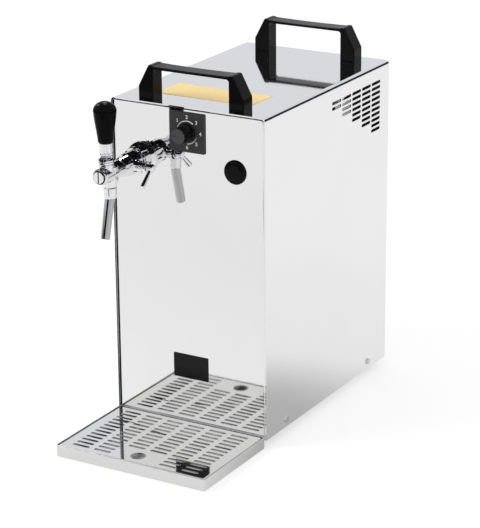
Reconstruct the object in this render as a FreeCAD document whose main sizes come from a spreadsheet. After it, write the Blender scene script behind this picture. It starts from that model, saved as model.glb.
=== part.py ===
import FreeCAD, Part
import math
import os
import Sketcher
from FreeCAD import Placement, Rotation, Vector

# Counter-top beer cooler with one compensator tap, a lift-off drip tray and two carry handles.
# Frame: +X to the right seen from the front, +Y to the rear, +Z up; the origin is on the floor,
# in the middle of the whole object. Lengths are millimetres and angles degrees.

os.makedirs("parts", exist_ok=True)
doc = FreeCAD.newDocument("beer_cooler")

# Driving dimensions
DIMENSIONS = {
    "cabinet_width": 200, "cabinet_depth": 301, "cabinet_top": 390, "cabinet_foot": 10,
    "plate": 1.2, "bend": 6, "panel_bend": 2.2, "panel_return": 14, "pan_rim": 24,
    "rear_reach": 24, "tray_depth": 134, "tray_width": 197, "tray_top": 14.4, "tray_wall": 1.5,
    "grid_rim": 2.7, "slot_long": 22.3, "slot_wide": 4.5, "column_pitch": 28.8, "row_pitch": 9.04,
    "first_row": 13, "finger_hole": 18, "finger_hole_back": 114.5,
    "vent_long": 22.5, "vent_high": 3.8, "vent_pitch_deep": 25, "vent_pitch_high": 6.33,
    "vent_back": 266.7, "vent_drop": 20.2,
    "foot_x": 78, "foot_inset": 28, "foot_radius": 11,
    "screw_back": 47, "screw_z": 19.4, "screw_head": 1.8, "screw_long": 9,
    "handle_width": 136, "handle_deep": 21, "handle_high": 40, "handle_bar": 5, "handle_window": 98,
    "handle_leg": 15, "handle_corner": 3, "handle_bevel": 1.6, "shoulder_side": 11.4,
    "shoulder_below": 3.4, "shoulder_top": 16, "shoulder_radius": 5,
    "front_handle_back": 8, "rear_handle_back": 271, "handle_screw_span": 117,
    "dial_side": 46, "dial_x": 1, "dial_z": 361.8, "dial_thick": 1.6, "dial_hole": 3.6,
    "knob_radius": 10.8, "knob_long": 19.5, "knob_gap": 0.4, "dial_shaft_radius": 3, "shaft_flat": 1.6,
    "case_wide": 40, "case_high": 32, "case_deep": 28, "case_standoff": 6, "bush_radius": 5, "bush_long": 9,
    "badge_wide": 46, "badge_high": 29, "badge_z": 81.5, "badge_thick": 0.8,
    "label_wide": 124, "label_deep": 49, "label_back": 39, "label_x": -2, "label_thick": 0.3,
    "plug_x": 62, "plug_radius": 14, "plug_hole": 12.5,
    "tap_x": -59, "tap_z": 324, "running": 0.05, "bevel": 1.2,
    "shank_radius": 8, "shank_hole": 9, "shank_bore": 4, "shank_behind": 36, "shank_ahead": 17.4,
    "shank_nut_radius": 15, "shank_nut_long": 7, "flange_radius": 19, "flange_thick": 6,
    "union_radius": 16, "union_long": 11, "notch_radius": 2.4,
    "barrel_radius": 13.2, "barrel_end": 41, "neck_outer": 9.6, "neck_end": 62,
    "head_radius": 10.6, "head_end": 86, "cap_rim": 9.6, "cap_radius": 6.8, "cap_long": 4.6, "cap_slot": 1.4,
    "lever_ahead": 74, "lever_pivot_up": 13, "lever_socket": 8.4, "pivot_radius": 5.2,
    "bonnet_radius": 9, "bonnet_high": 5.8, "stem_radius": 2.75, "finger_long": 11, "finger_tip": 2.6,
    "disc_up": 8.8, "disc_radius": 6.6, "disc_thick": 2.2,
    "ferrule_start": 12, "ferrule_radius": 7.75, "ferrule_long": 11.8,
    "grip_radius": 13, "grip_foot": 8.6, "lever_top": 83,
    "valve_radius": 6.6, "chamber_radius": 8.5, "neck_radius": 4,
    "seal_ahead": 45.2, "seal_radius": 6.2, "seal_thick": 2.8,
    "spout_ahead": 68, "spout_socket": 8.2, "spout_socket_long": 16, "collar_radius": 7.6,
    "collar_long": 13, "collar_flare": 7.05, "spout_radius": 5.6, "spout_bore": 4.2,
    "spout_tilt": 14, "spout_long": 54,
    "compensator_ahead": 31, "cone_radius": 7.6, "cone_groove": 3.6, "groove_wide": 3.6,
    "eccentric": 2.5, "eccentric_pin": 1.45, "side_boss": 6.6, "side_boss_long": 22,
    "side_nut_radius": 6.4, "side_nut_long": 4, "side_shaft_radius": 3, "side_journal_radius": 4,
    "side_lever_x": 31, "side_lever_long": 26.4, "side_lever_down": 42,
    "hub_radius": 4.8, "hub_long": 8.4, "arm_radius": 2.9,
    "fan_radius": 52, "fan_ahead": 40, "fan_z": 300, "fan_blades": 5, "fan_hub": 17,
    "blade_wide": 22, "blade_pitch": 62, "motor_radius": 20, "axle_radius": 2.5,
    "duct_wide": 128, "duct_high": 124, "duct_bar": 6, "rear_slot": 5, "rear_slot_pitch": 11,
    "coil_wide": 178.6, "coil_high": 121, "coil_deep": 44, "coil_gap": 35, "hanger_x": 62,
    "compressor_x": 24, "compressor_ahead": 84, "compressor_radius": 46, "compressor_high": 116,
    "block_wide": 160, "block_deep": 110, "block_high": 190, "block_back": 40, "block_foot": 60,
    "block_leg": 60,
    "pump_wide": 52, "pump_deep": 70, "pump_high": 62, "pump_ahead": 130, "pump_head": 16,
    "beer_tube": 4, "air_tube": 3, "tube_seat": 4, "inlet_radius": 4.8, "outlet_radius": 3.1,
    "inlet_x": -62, "inlet_z": 150, "outlet_z": 48, "gland_x": 62, "gland_z": 40, "gland_radius": 3.8,
    "switch_x": 62, "switch_z": 111, "switch_wide": 24, "switch_high": 22, "rocker_pin": 1.5,
}
sheet = doc.addObject("Spreadsheet::Sheet", "dims")
for row, (alias, amount) in enumerate(DIMENSIONS.items(), start=1):
    sheet.set(f"A{row}", alias)
    sheet.set(f"B{row}", str(amount))
    sheet.setAlias(f"B{row}", alias)
doc.recompute()


class Size:
    """A length with its present value and the sheet expression that drives it."""

    def __init__(self, value, text):
        self.value = float(value)
        self.text = text

    def __add__(self, other):
        other = as_size(other)
        return Size(self.value + other.value, f"({self.text} + {other.text})")

    def __radd__(self, other):
        return as_size(other) + self

    def __sub__(self, other):
        other = as_size(other)
        return Size(self.value - other.value, f"({self.text} - {other.text})")

    def __rsub__(self, other):
        return as_size(other) - self

    def __mul__(self, factor):
        factor = as_size(factor)
        return Size(self.value * factor.value, f"({self.text} * {factor.text})")

    def __rmul__(self, factor):
        return self * factor

    def __truediv__(self, factor):
        return Size(self.value / factor, f"({self.text} / {factor})")

    def __neg__(self):
        return Size(-self.value, f"(0 - {self.text})")


def as_size(amount):
    return amount if isinstance(amount, Size) else Size(amount, f"({amount})")


class Dims:
    """Gives each alias of the sheet as a Size, such as D.plate."""

    def __getattr__(self, alias):
        return Size(DIMENSIONS[alias], f"dims.{alias}")


D = Dims()
HALF = D.cabinet_width / 2
FRONT = (D.tray_depth - D.cabinet_depth - D.rear_reach) / 2
REAR = FRONT + D.cabinet_depth
INNER_HALF = HALF - D.plate
FLOOR = D.cabinet_foot + D.plate
TOP = D.cabinet_top
sub_parts = []


def bind(thing, prop, amount):
    thing.setExpression(prop, as_size(amount).text)


def move(thing, at, turn=None):
    """Put an object at a point, each coordinate bound to the sheet."""
    thing.Placement = Placement(Vector(), turn or Rotation())
    for axis, amount in zip("xyz", at):
        bind(thing, f"Placement.Base.{axis}", amount)


def keep(thing, name):
    """Make an object a sub-part with its own label."""
    thing.Label = name
    sub_parts.append(thing)
    return thing


# Solids from primitives

TURN = {
    "+x": Rotation(Vector(0, 1, 0), 90), "-x": Rotation(Vector(0, 1, 0), -90),
    "+y": Rotation(Vector(1, 0, 0), -90), "-y": Rotation(Vector(1, 0, 0), 90),
    "+z": Rotation(), "-z": Rotation(Vector(1, 0, 0), 180),
}


def box(name, low, high):
    """A box from its low corner to its high corner."""
    thing = doc.addObject("Part::Box", name)
    for prop, a, b in zip(("Length", "Width", "Height"), low, high):
        bind(thing, prop, as_size(b) - a)
    move(thing, low)
    return thing


def rod(name, at, way, radius, length):
    """A cylinder that starts at a point and runs along an axis."""
    thing = doc.addObject("Part::Cylinder", name)
    bind(thing, "Radius", radius)
    bind(thing, "Height", length)
    move(thing, at, TURN[way])
    return thing


def prism(name, at, way, radius, length, sides=6):
    """A straight bar with flat sides, by the radius of its corners."""
    thing = doc.addObject("Part::Prism", name)
    thing.Polygon = sides
    bind(thing, "Circumradius", radius)
    bind(thing, "Height", length)
    move(thing, at, TURN[way])
    return thing


def socket(name, at, way, radius, length, sides=24):
    """A many-sided hole whose flats touch a circle of the radius, so a bar of that radius fits it."""
    return prism(name, at, way, as_size(radius) / math.cos(math.pi / sides), length, sides)


def along(at, way, distance):
    """The point at a distance from another, along an axis."""
    step = -distance if way[0] == "-" else distance
    return tuple(amount + step if letter == way[1] else amount for letter, amount in zip("xyz", at))


def taper(name, at, way, length, near, far, sides):
    """A many-sided bar whose corner radius runs from near to far: a straight one with drafted sides."""
    body = new_body(name)
    move(body, at, TURN[way])
    bar = body.newObject("PartDesign::AdditivePrism", name + "_bar")
    bar.Polygon = sides
    bind(bar, "Circumradius", near)
    bind(bar, "Height", length)
    doc.recompute()
    lean = [face.normalAt(0, 0).z for face in bar.Shape.Faces]
    draft = body.newObject("PartDesign::Draft", name + "_draft")
    draft.Base = (bar, [f"Face{index}" for index, z in enumerate(lean, start=1) if abs(z) < 0.5])
    draft.NeutralPlane = (bar, [f"Face{index}" for index, z in enumerate(lean, start=1) if z < -0.5])
    draft.Reversed = far.value > near.value
    change = far - near if draft.Reversed else near - far
    slope = (change * math.cos(math.pi / sides)).text
    draft.setExpression("Angle", f"atan({slope} / {as_size(length).text})")
    return body


def many_sided(name, at, way, stations, sides=24):
    """A stepped and tapered bar with flat sides, through (distance, corner radius) stations."""
    lengths = []
    for index, (near, far) in enumerate(zip(stations, stations[1:])):
        start, end, first, last = (as_size(amount) for amount in (near[0], far[0], near[1], far[1]))
        place, tag = along(at, way, start), f"{name}_{index}"
        if start.value == end.value:
            continue
        if first.value == last.value:
            lengths.append(prism(tag, place, way, first, end - start, sides))
        else:
            lengths.append(taper(tag, place, way, end - start, first, last, sides))
    return fuse(name, lengths) if len(lengths) > 1 else lengths[0]


def fuse(name, shapes):
    thing = doc.addObject("Part::MultiFuse", name)
    thing.Shapes = shapes
    thing.Refine = True
    return thing


def group(name, shapes):
    """Separate solids kept side by side in one object."""
    thing = doc.addObject("Part::Compound", name)
    thing.Links = shapes
    return thing


def cut(name, base, tools):
    thing = doc.addObject("Part::Cut", name)
    thing.Base = base
    thing.Tool = tools[0] if len(tools) == 1 else group(name + "_tools", tools)
    return thing


# Solids from sketches

def new_body(name, at=(0, 0, 0)):
    body = doc.addObject("PartDesign::Body", name)
    move(body, at)
    return body


def origin_item(body, role):
    return [item for item in body.Origin.OriginFeatures if item.Role == role][0]


def new_sketch(body, name, plane, offset=0):
    """A sketch on a plane of the body's own origin, moved along the plane's normal."""
    sketch = body.newObject("Sketcher::SketchObject", name)
    sketch.AttachmentSupport = [(origin_item(body, plane), "")]
    sketch.MapMode = "FlatFace"
    bind(sketch, "AttachmentOffset.Base.z", offset)
    return sketch


def pin_point(sketch, curve, end, point, name):
    """Hold one end of a curve at its distances from the sketch's origin."""
    for kind, letter, amount in (("DistanceX", "u", point[0]), ("DistanceY", "v", point[1])):
        amount = as_size(amount)
        number = sketch.addConstraint(Sketcher.Constraint(kind, -1, 1, curve, end, amount.value))
        sketch.renameConstraint(number, f"{name}{letter}")
        sketch.setExpression(f"Constraints.{name}{letter}", amount.text)


def outline(sketch, path, name="p"):
    """A closed outline. A path item is a point (u, v), or (u, v, radius) where an arc of that
    radius leads from that point to the next; a negative radius bends the arc to the right."""
    count = len(path)
    curves = []
    for index, item in enumerate(path):
        start = [as_size(amount) for amount in item[:2]]
        end = [as_size(amount) for amount in path[(index + 1) % count][:2]]
        a = Vector(start[0].value, start[1].value, 0)
        b = Vector(end[0].value, end[1].value, 0)
        if len(item) == 2:
            curves.append((sketch.addGeometry(Part.LineSegment(a, b), False), 1, 2))
            continue
        radius = as_size(item[2])
        size = abs(radius.value)
        chord = b - a
        left = Vector(-chord.y, chord.x, 0).normalize()
        rise = size - math.sqrt(max(size * size - chord.Length ** 2 / 4, 0))
        side = -1 if radius.value > 0 else 1
        middle = (a + b) * 0.5 + left * (rise * side)
        curve = sketch.addGeometry(Part.Arc(a, middle, b), False)
        ends = (1, 2) if radius.value > 0 else (2, 1)
        curves.append((curve, ends[0], ends[1]))
        number = sketch.addConstraint(Sketcher.Constraint("Radius", curve, size))
        sketch.renameConstraint(number, f"{name}{index}r")
        text = radius.text if radius.value > 0 else (-radius).text
        sketch.setExpression(f"Constraints.{name}{index}r", text)
    for index, item in enumerate(path):
        curve, first, last = curves[index]
        follower, start_end, _ = curves[(index + 1) % count]
        sketch.addConstraint(Sketcher.Constraint("Coincident", curve, last, follower, start_end))
        pin_point(sketch, curve, first, item[:2], f"{name}{index}")


def circle(sketch, centre, radius, name):
    u, v = (as_size(amount) for amount in centre)
    radius = as_size(radius)
    curve = sketch.addGeometry(Part.Circle(Vector(u.value, v.value, 0), Vector(0, 0, 1), radius.value))
    pin_point(sketch, curve, 3, centre, name)
    number = sketch.addConstraint(Sketcher.Constraint("Radius", curve, radius.value))
    sketch.renameConstraint(number, f"{name}r")
    sketch.setExpression(f"Constraints.{name}r", radius.text)


def rectangle(sketch, low, high, name="p"):
    outline(sketch, [(low[0], low[1]), (high[0], low[1]), (high[0], high[1]), (low[0], high[1])], name)


def round_rectangle(sketch, low, high, r, name="p"):
    (u0, v0), (u1, v1) = low, high
    outline(sketch, [(u0 + r, v0), (u1 - r, v0, r), (u1, v0 + r), (u1, v1 - r, r),
                     (u1 - r, v1), (u0 + r, v1, r), (u0, v1 - r), (u0, v0 + r, r)], name)


def slot(sketch, centre, length, width, name):
    """A slot along the sketch's first axis."""
    u, v = centre
    rectangle(sketch, (u - length / 2, v - width / 2), (u + length / 2, v + width / 2), name)


def pad(body, name, sketch, length, backwards=False):
    feature = body.newObject("PartDesign::Pad", name)
    feature.Profile = sketch
    bind(feature, "Length", length)
    feature.Reversed = backwards
    return feature


def pocket(body, name, sketch, depth=None, backwards=False):
    """A pocket of a depth, or with no depth right through on both sides of its sketch."""
    feature = body.newObject("PartDesign::Pocket", name)
    feature.Profile = sketch
    feature.Reversed = backwards
    if depth is None:
        feature.Type = "ThroughAll"
        feature.Midplane = True
    else:
        bind(feature, "Length", depth)
    return feature


def repeat(body, name, feature, axis, step, count, backwards=False):
    pattern = body.newObject("PartDesign::LinearPattern", name)
    pattern.Originals = [feature]
    pattern.Direction = (origin_item(body, axis), [""])
    pattern.Reversed = backwards
    pattern.Occurrences = count
    bind(pattern, "Length", step * (count - 1))
    body.Tip = pattern
    return pattern


def soften(body, name, radius, wanted, chamfer=False):
    """Round or bevel the edges of the body's last feature that answer to a test."""
    doc.recompute()
    last = body.Tip
    edges = [f"Edge{index}" for index, edge in enumerate(last.Shape.Edges, start=1) if wanted(edge)]
    feature = body.newObject("PartDesign::Chamfer" if chamfer else "PartDesign::Fillet", name)
    feature.Base = (last, edges)
    bind(feature, "Size" if chamfer else "Radius", radius)
    return feature


# Cabinet shells

def make_cover():
    """The top and both sides are one folded plate, with a stepped field of vents at the rear."""
    body = new_body("cover", (0, FRONT, 0))
    low, high, w, t, r = D.cabinet_foot, TOP, HALF, D.plate, D.bend
    q = r - t
    sketch = new_sketch(body, "cover_profile", "XZ_Plane")
    outline(sketch, [(w, low), (w, high - r, r), (w - r, high), (r - w, high, r), (-w, high - r), (-w, low),
                     (t - w, low), (t - w, high - r, -q), (r - w, high - t), (w - r, high - t, -q),
                     (w - t, high - r), (w - t, low)])
    pad(body, "cover_pad", sketch, D.cabinet_depth, backwards=True)
    for column in range(5):
        back = D.vent_back - column * D.vent_pitch_deep
        drop = TOP - D.vent_drop
        sketch = new_sketch(body, f"vent_sketch_{column}", "YZ_Plane")
        rectangle(sketch, (back - D.vent_long / 2, drop - D.vent_high / 2),
                  (back + D.vent_long / 2, drop + D.vent_high / 2))
        vent = pocket(body, f"vent_{column}", sketch)
        repeat(body, f"vent_rows_{column}", vent, "Z_Axis", D.vent_pitch_high, 10 - 2 * column,
               backwards=True)
    return keep(body, "cover")


def handle_screw_places():
    half = D.handle_screw_span / 2
    rows = [FRONT + back + D.handle_deep / 2 for back in (D.front_handle_back, D.rear_handle_back)]
    return [(x, y) for y in rows for x in (-half, half)]


def make_panel(name, face, backwards, holes):
    """A shallow pressed panel: a flat face with returns all round that sit inside the cover."""
    body = new_body(name, (0, face, 0))
    r = D.bend - D.plate
    w, low, high = INNER_HALF, D.cabinet_foot, TOP - D.plate
    sketch = new_sketch(body, name + "_outline", "XZ_Plane")
    outline(sketch, [(-w, low), (w, low), (w, high - r, r), (w - r, high), (r - w, high, r), (-w, high - r)])
    pad(body, name + "_pad", sketch, D.panel_return, backwards=backwards)
    soften(body, name + "_bends", D.panel_bend,
           lambda edge: all(abs(v.Y) < 0.01 for v in edge.Vertexes), chamfer=True)
    inner = new_sketch(body, name + "_inner", "XZ_Plane", -D.plate if backwards else D.plate)
    t = D.plate
    outline(inner, [(t - w, low + t), (w - t, low + t), (w - t, high - r, r - t), (w - r, high - t),
                    (r - w, high - t, r - t), (t - w, high - r)])
    pocket(body, name + "_hollow", inner, D.panel_return, backwards=not backwards)
    sketch = new_sketch(body, name + "_holes", "XZ_Plane")
    holes(sketch)
    pocket(body, name + "_hole_cut", sketch)
    return body


def front_holes(sketch):
    circle(sketch, (D.tap_x, D.tap_z), D.shank_hole, "tap")
    circle(sketch, (D.plug_x, D.tap_z), D.plug_hole, "plug")
    circle(sketch, (D.dial_x, D.dial_z), D.bush_radius, "dial")


def rear_holes(sketch):
    circle(sketch, (D.inlet_x, D.inlet_z), D.beer_tube + 0.2, "inlet")
    circle(sketch, (D.inlet_x, D.outlet_z), D.air_tube + 0.2, "outlet")
    circle(sketch, (D.gland_x, D.gland_z), D.gland_radius, "gland")
    wide, high = D.switch_wide / 2, D.switch_high / 2
    x, z = D.switch_x, D.switch_z
    rectangle(sketch, (x - wide, z - high), (x + wide, z + high), "switch")


def make_rear_panel():
    """The rear panel has a ladder of air slots in front of the fan."""
    body = make_panel("rear_panel", REAR, False, rear_holes)
    sketch = new_sketch(body, "rear_slots", "XZ_Plane")
    low = D.fan_z - 5 * D.rear_slot_pitch
    for column, middle in enumerate((-29, 29)):
        rectangle(sketch, (middle - 25, low), (middle + 25, low + D.rear_slot), f"s{column}_")
    slots = pocket(body, "rear_slot_cut", sketch)
    repeat(body, "rear_slot_rows", slots, "Z_Axis", D.rear_slot_pitch, 10)
    return keep(body, "rear_panel")


def make_base_pan():
    """The floor of the cabinet, a pan with upright rims that the cover is screwed to."""
    body = new_body("base_pan", (0, FRONT, 0))
    near_y, far_y = D.panel_return, D.cabinet_depth - D.panel_return
    sketch = new_sketch(body, "base_outline", "XY_Plane", D.cabinet_foot)
    rectangle(sketch, (-INNER_HALF, near_y), (INNER_HALF, far_y))
    pad(body, "base_pad", sketch, D.pan_rim)
    sketch = new_sketch(body, "base_inner", "XY_Plane", D.cabinet_foot + D.pan_rim)
    rectangle(sketch, (D.plate - INNER_HALF, near_y + D.plate), (INNER_HALF - D.plate, far_y - D.plate))
    pocket(body, "base_hollow", sketch, D.pan_rim - D.plate)
    return keep(body, "base_pan")


def make_feet():
    """Four round rubber feet under the base pan."""
    places = [(x, y) for x in (-D.foot_x, D.foot_x) for y in (FRONT + D.foot_inset, REAR - D.foot_inset)]
    feet = [prism(f"foot_{index}", (x, y, 0), "+z", D.foot_radius, D.cabinet_foot, 24)
            for index, (x, y) in enumerate(places)]
    return keep(group("feet", feet), "feet")


def make_cover_screws():
    """Four pan-head screws hold the cover's sides to the base pan."""
    screws = []
    for side, way, out in ((HALF, "-x", 1), (-HALF, "+x", -1)):
        for index, back in enumerate((D.screw_back, D.cabinet_depth - D.screw_back)):
            tag = f"{'right' if out > 0 else 'left'}_{index}"
            at = (side + out * D.screw_head, FRONT + back, D.screw_z)
            head = prism(f"cover_screw_head_{tag}", at, way, 3.8, D.screw_head, 16)
            shaft = prism(f"cover_screw_shaft_{tag}", at, way, 1.65, D.screw_long)
            screws.append(fuse(f"cover_screw_{tag}", [head, shaft]))
    return keep(group("cover_screws", screws), "cover_screws")


# Handles and plates

def make_handle(name, back):
    """A moulded bracket: two legs with bevelled shoulders and a thin bar to hold."""
    body = new_body(name, (0, FRONT + back, TOP))
    w, top = D.handle_width / 2, D.handle_high
    side, below, inset = D.shoulder_side, top - D.shoulder_below, D.shoulder_top
    sketch = new_sketch(body, name + "_outline", "XZ_Plane")
    leg, r = D.handle_leg, D.shoulder_radius
    outline(sketch, [(-w, 0), (w, 0), (w, leg), (w - side, below, r), (w - inset, top),
                     (inset - w, top, r), (side - w, below), (-w, leg)])
    pad(body, name + "_pad", sketch, D.handle_deep, backwards=True)
    inner, under, r = D.handle_window / 2, top - D.handle_bar, D.handle_corner
    sketch = new_sketch(body, name + "_window", "XZ_Plane")
    outline(sketch, [(-inner, -1), (inner, -1), (inner, under - r, r), (inner - r, under),
                     (r - inner, under, r), (-inner, under - r)])
    pocket(body, name + "_window_cut", sketch)
    soften(body, name + "_edges", D.handle_bevel,
           lambda edge: edge.BoundBox.YLength < 0.01 and edge.BoundBox.ZMax > 0.5
           and outer_edge(edge, inner.value, under.value), chamfer=True)
    return keep(body, name)


def outer_edge(edge, inner, under):
    """True for an edge of the handle's outer outline, false round its window."""
    point = edge.CenterOfMass
    return abs(point.x) > inner + 0.5 or point.z > under + 0.5


def make_handle_screws():
    """Four screws come up through the top plate into the handles' legs."""
    screws = []
    below = TOP - D.plate
    for index, (x, y) in enumerate(handle_screw_places()):
        head = prism(f"handle_screw_head_{index}", (x, y, below - 2.4), "+z", 4.2, 2.4)
        shaft = prism(f"handle_screw_shaft_{index}", (x, y, below - 1), "+z", 1.85, D.screw_long + 1)
        screws.append(fuse(f"handle_screw_{index}", [head, shaft]))
    return keep(group("handle_screws", screws), "handle_screws")


def make_plate(name, centre, wide, high, thick, radius, hole=None):
    """A thin black plate on the front panel, with round corners."""
    body = new_body(name, (centre[0], FRONT, centre[1]))
    sketch = new_sketch(body, name + "_outline", "XZ_Plane")
    round_rectangle(sketch, (-wide / 2, -high / 2), (wide / 2, high / 2), radius)
    if hole:
        circle(sketch, (0, 0), hole, "hole")
    pad(body, name + "_pad", sketch, thick)
    return keep(body, name)


def make_top_label():
    body = new_body("top_label", (D.label_x, FRONT + D.label_back, TOP))
    sketch = new_sketch(body, "label_outline", "XY_Plane")
    rectangle(sketch, (-D.label_wide / 2, 0), (D.label_wide / 2, D.label_deep))
    pad(body, "label_pad", sketch, D.label_thick)
    return keep(body, "top_label")


def make_thermostat():
    """Switch body behind the panel, with a turning shaft that carries the outer knob."""
    x, z = D.dial_x, D.dial_z
    near = FRONT + D.plate + D.case_standoff
    wide, high = D.case_wide / 2, D.case_high / 2
    case = box("thermostat_case", (x - wide, near, z - high), (x + wide, near + D.case_deep, z + high))
    bush = prism("thermostat_bush", (x, FRONT, z), "+y", D.bush_radius, D.bush_long, 16)
    bore = rod("thermostat_bore", (x, FRONT - 1, z), "+y", D.dial_shaft_radius + D.running, 19)
    keep(cut("thermostat_body", fuse("thermostat_solid", [case, bush]), [bore]), "thermostat_body")

    start = FRONT - D.dial_thick - D.knob_long
    full = rod("thermostat_shaft_round", (x, start + 4, z), "+y", D.dial_shaft_radius,
               D.dial_thick + D.knob_long + D.plate + 8)
    flat = box("thermostat_shaft_flat", (x - 4, start + 3, z + D.shaft_flat),
               (x + 4, start + D.knob_long, z + 4))
    keep(cut("thermostat_shaft", full, [flat]), "thermostat_shaft")

    face = (x, FRONT - D.dial_thick - D.knob_gap, z)
    length, r = D.knob_long, D.knob_radius
    blank = many_sided("knob_blank", face, "-y", [(0, r), (length - 1, r), (length, r - 0.8)])
    front = FRONT - D.dial_thick - D.knob_gap - length
    pointer = box("knob_pointer", (x - r + 2, front - 1, z - 0.4), (x - 2.5, front + 0.5, z + 0.4))
    fit = 0.01
    round_bore = rod("knob_bore_round", (x, front + 4, z), "+y", D.dial_shaft_radius + fit, length)
    key = box("knob_bore_key", (x - 4, front + 3, z + D.shaft_flat + fit), (x + 4, FRONT, z + 4))
    bore = cut("knob_bore", round_bore, [key])
    keep(cut("thermostat_knob", blank, [pointer, bore]), "thermostat_knob")


def make_hole_plug():
    """A black dome closes the second tap hole; its skirt snaps behind the panel."""
    at, r = (D.plug_x, FRONT, D.tap_z), D.plug_radius
    dome = many_sided("plug_dome", at, "-y", [(0, r), (1.4, r), (2.3, r - 1.2), (2.8, r - 3.4)], 32)
    skirt = prism("plug_skirt", at, "+y", D.plug_hole, D.plate + 3, 32)
    return keep(fuse("hole_plug", [dome, skirt]), "hole_plug")


# Tap: its pieces are set out from the tap's axis at the face of the front panel

TAP = (D.tap_x, FRONT, D.tap_z)
PIVOT = (D.tap_x, FRONT - D.lever_ahead, D.tap_z + D.lever_pivot_up)


def make_tap_mounting():
    """Wall flange, threaded shank through the panel, its back nut and the union nut in front."""
    x, y, z = TAP
    bore = D.shank_radius + 0.1
    r, thick, bevel = D.flange_radius, D.flange_thick, D.bevel
    blank = many_sided("flange_blank", TAP, "-y", [(0, r), (thick - bevel, r), (thick, r - bevel)], 32)
    way = socket("flange_hole", (x, y + 1, z), "-y", bore, thick + 2)
    keep(cut("wall_flange", blank, [way]), "wall_flange")

    back, length = (x, y + D.shank_behind, z), D.shank_behind + D.shank_ahead
    blank = prism("shank_blank", back, "-y", D.shank_radius, length, 24)
    way = socket("shank_way", (x, y + D.shank_behind + 1, z), "-y", D.shank_bore, length + 2, 12)
    keep(cut("tap_shank", blank, [way]), "tap_shank")

    blank = prism("shank_nut_blank", (x, y + D.plate, z), "+y", D.shank_nut_radius, D.shank_nut_long)
    way = socket("shank_nut_hole", (x, y, z), "+y", D.shank_radius, D.shank_nut_long + 2)
    keep(cut("shank_nut", blank, [way]), "shank_nut")

    near = (x, y - thick, z)
    blank = prism("union_blank", near, "-y", D.union_radius, D.union_long, 32)
    tools = [socket("union_hole", (x, y - thick + 1, z), "-y", bore, D.union_long + 2)]
    for index in range(4):
        angle = math.radians(90 * index + 45)
        reach = D.union_radius + 1.2
        at = (x + reach * math.cos(angle), y - thick + 1, z + reach * math.sin(angle))
        tools.append(prism(f"union_notch_{index}", at, "-y", D.notch_radius, D.union_long + 2, 12))
    keep(cut("union_nut", blank, tools), "union_nut")


def make_tap_body():
    """One casting: chamber, neck, valve head, lever socket, spout socket and side boss."""
    x, y, z = TAP
    barrel, neck, head = D.barrel_radius, D.neck_outer, D.head_radius
    shell = many_sided("tap_shell", TAP, "-y", [
        (D.shank_ahead, barrel), (D.barrel_end, barrel), (D.barrel_end + 2.6, neck), (D.neck_end, neck),
        (D.neck_end, head), (D.head_end, head)], 32)
    lever_y = y - D.lever_ahead
    spout_y = y - D.spout_ahead
    side_y = y - D.compensator_ahead
    seat_up = D.lever_pivot_up
    upper = prism("tap_lever_socket", (x, lever_y, z), "+z", D.lever_socket, seat_up, 24)
    drop = prism("tap_spout_socket", (x, spout_y, z), "-z", D.spout_socket, D.spout_socket_long, 24)
    boss = prism("tap_side_boss", (x, side_y, z), "+x", D.side_boss, D.side_boss_long, 20)
    solid = fuse("tap_solid", [shell, upper, drop, boss])
    inlet = D.shank_ahead - 1
    chamber = D.shank_ahead + 1.6
    tools = [
        socket("tap_inlet", (x, y - inlet, z), "-y", D.shank_bore, 14, 12),
        socket("tap_chamber", (x, y - chamber, z), "-y", D.chamber_radius, D.barrel_end + 7 - chamber),
        socket("tap_neck", (x, y - D.barrel_end, z), "-y", D.neck_radius, 30, 12),
        socket("tap_valve_bore", (x, y - D.neck_end + 2, z), "-y", D.valve_radius, 40),
        socket("tap_pivot_seat", (x - 6.2, lever_y, z + seat_up), "+x", D.pivot_radius + D.running, 12.4),
        box("tap_finger_slot", (x - 2.8, lever_y - 3, z + 4), (x + 2.8, lever_y + 6.8, z + seat_up - 1)),
        socket("tap_spout_bore", (x, spout_y, z), "-z", D.spout_bore, D.spout_socket_long + 4, 12),
        socket("tap_spout_seat", (x, spout_y, z - 12), "-z", D.spout_radius + 0.02, 6),
        socket("tap_side_bore", (x, side_y, z), "+x", D.side_journal_radius + D.running, 30),
    ]
    return keep(cut("tap_body", solid, tools), "tap_body")


def make_tap_caps():
    """Slotted screw plug in the head, bonnet over the lever's ball, and the side gland nut."""
    x, y, z = TAP
    front, rim = y - D.head_end, D.bevel
    plug = prism("head_cap_plug", (x, front, z), "+y", D.valve_radius, 2.5, 24)
    face = many_sided("head_cap_face", (x, front, z), "-y", [
        (0, D.cap_rim), (rim, D.cap_rim), (rim, D.cap_radius), (D.cap_long, D.cap_radius)])
    half, deep = D.cap_slot / 2, D.cap_long - 1.4
    notch = box("head_cap_slot", (x - half, front - D.cap_long - 1, z - 8), (x + half, front - deep, z + 8))
    keep(cut("head_cap", fuse("head_cap_solid", [plug, face]), [notch]), "head_cap")

    px, py, pz = PIVOT
    r, high, bevel = D.bonnet_radius, D.bonnet_high, D.bevel
    bonnet = many_sided("bonnet_blank", PIVOT, "+z", [(0, r), (high - bevel, r), (high, r - bevel)])
    seat = socket("bonnet_seat", (px - 6.2, py, pz), "+x", D.pivot_radius + D.running, 12.4)
    way = D.stem_radius + 0.35
    gap = box("bonnet_slot", (px - way, py - 10, pz - 1), (px + way, py + way, pz + high + 1))
    keep(cut("lever_nut", bonnet, [seat, gap]), "lever_nut")

    near, side_y = x + D.side_boss_long, y - D.compensator_ahead
    nut = prism("side_nut_blank", (near, side_y, z), "+x", D.side_nut_radius, D.side_nut_long)
    hole = socket("side_nut_hole", (near - 1, side_y, z), "+x", D.side_shaft_radius + D.running, 6, 16)
    keep(cut("side_nut", nut, [hole]), "side_nut")


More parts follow.
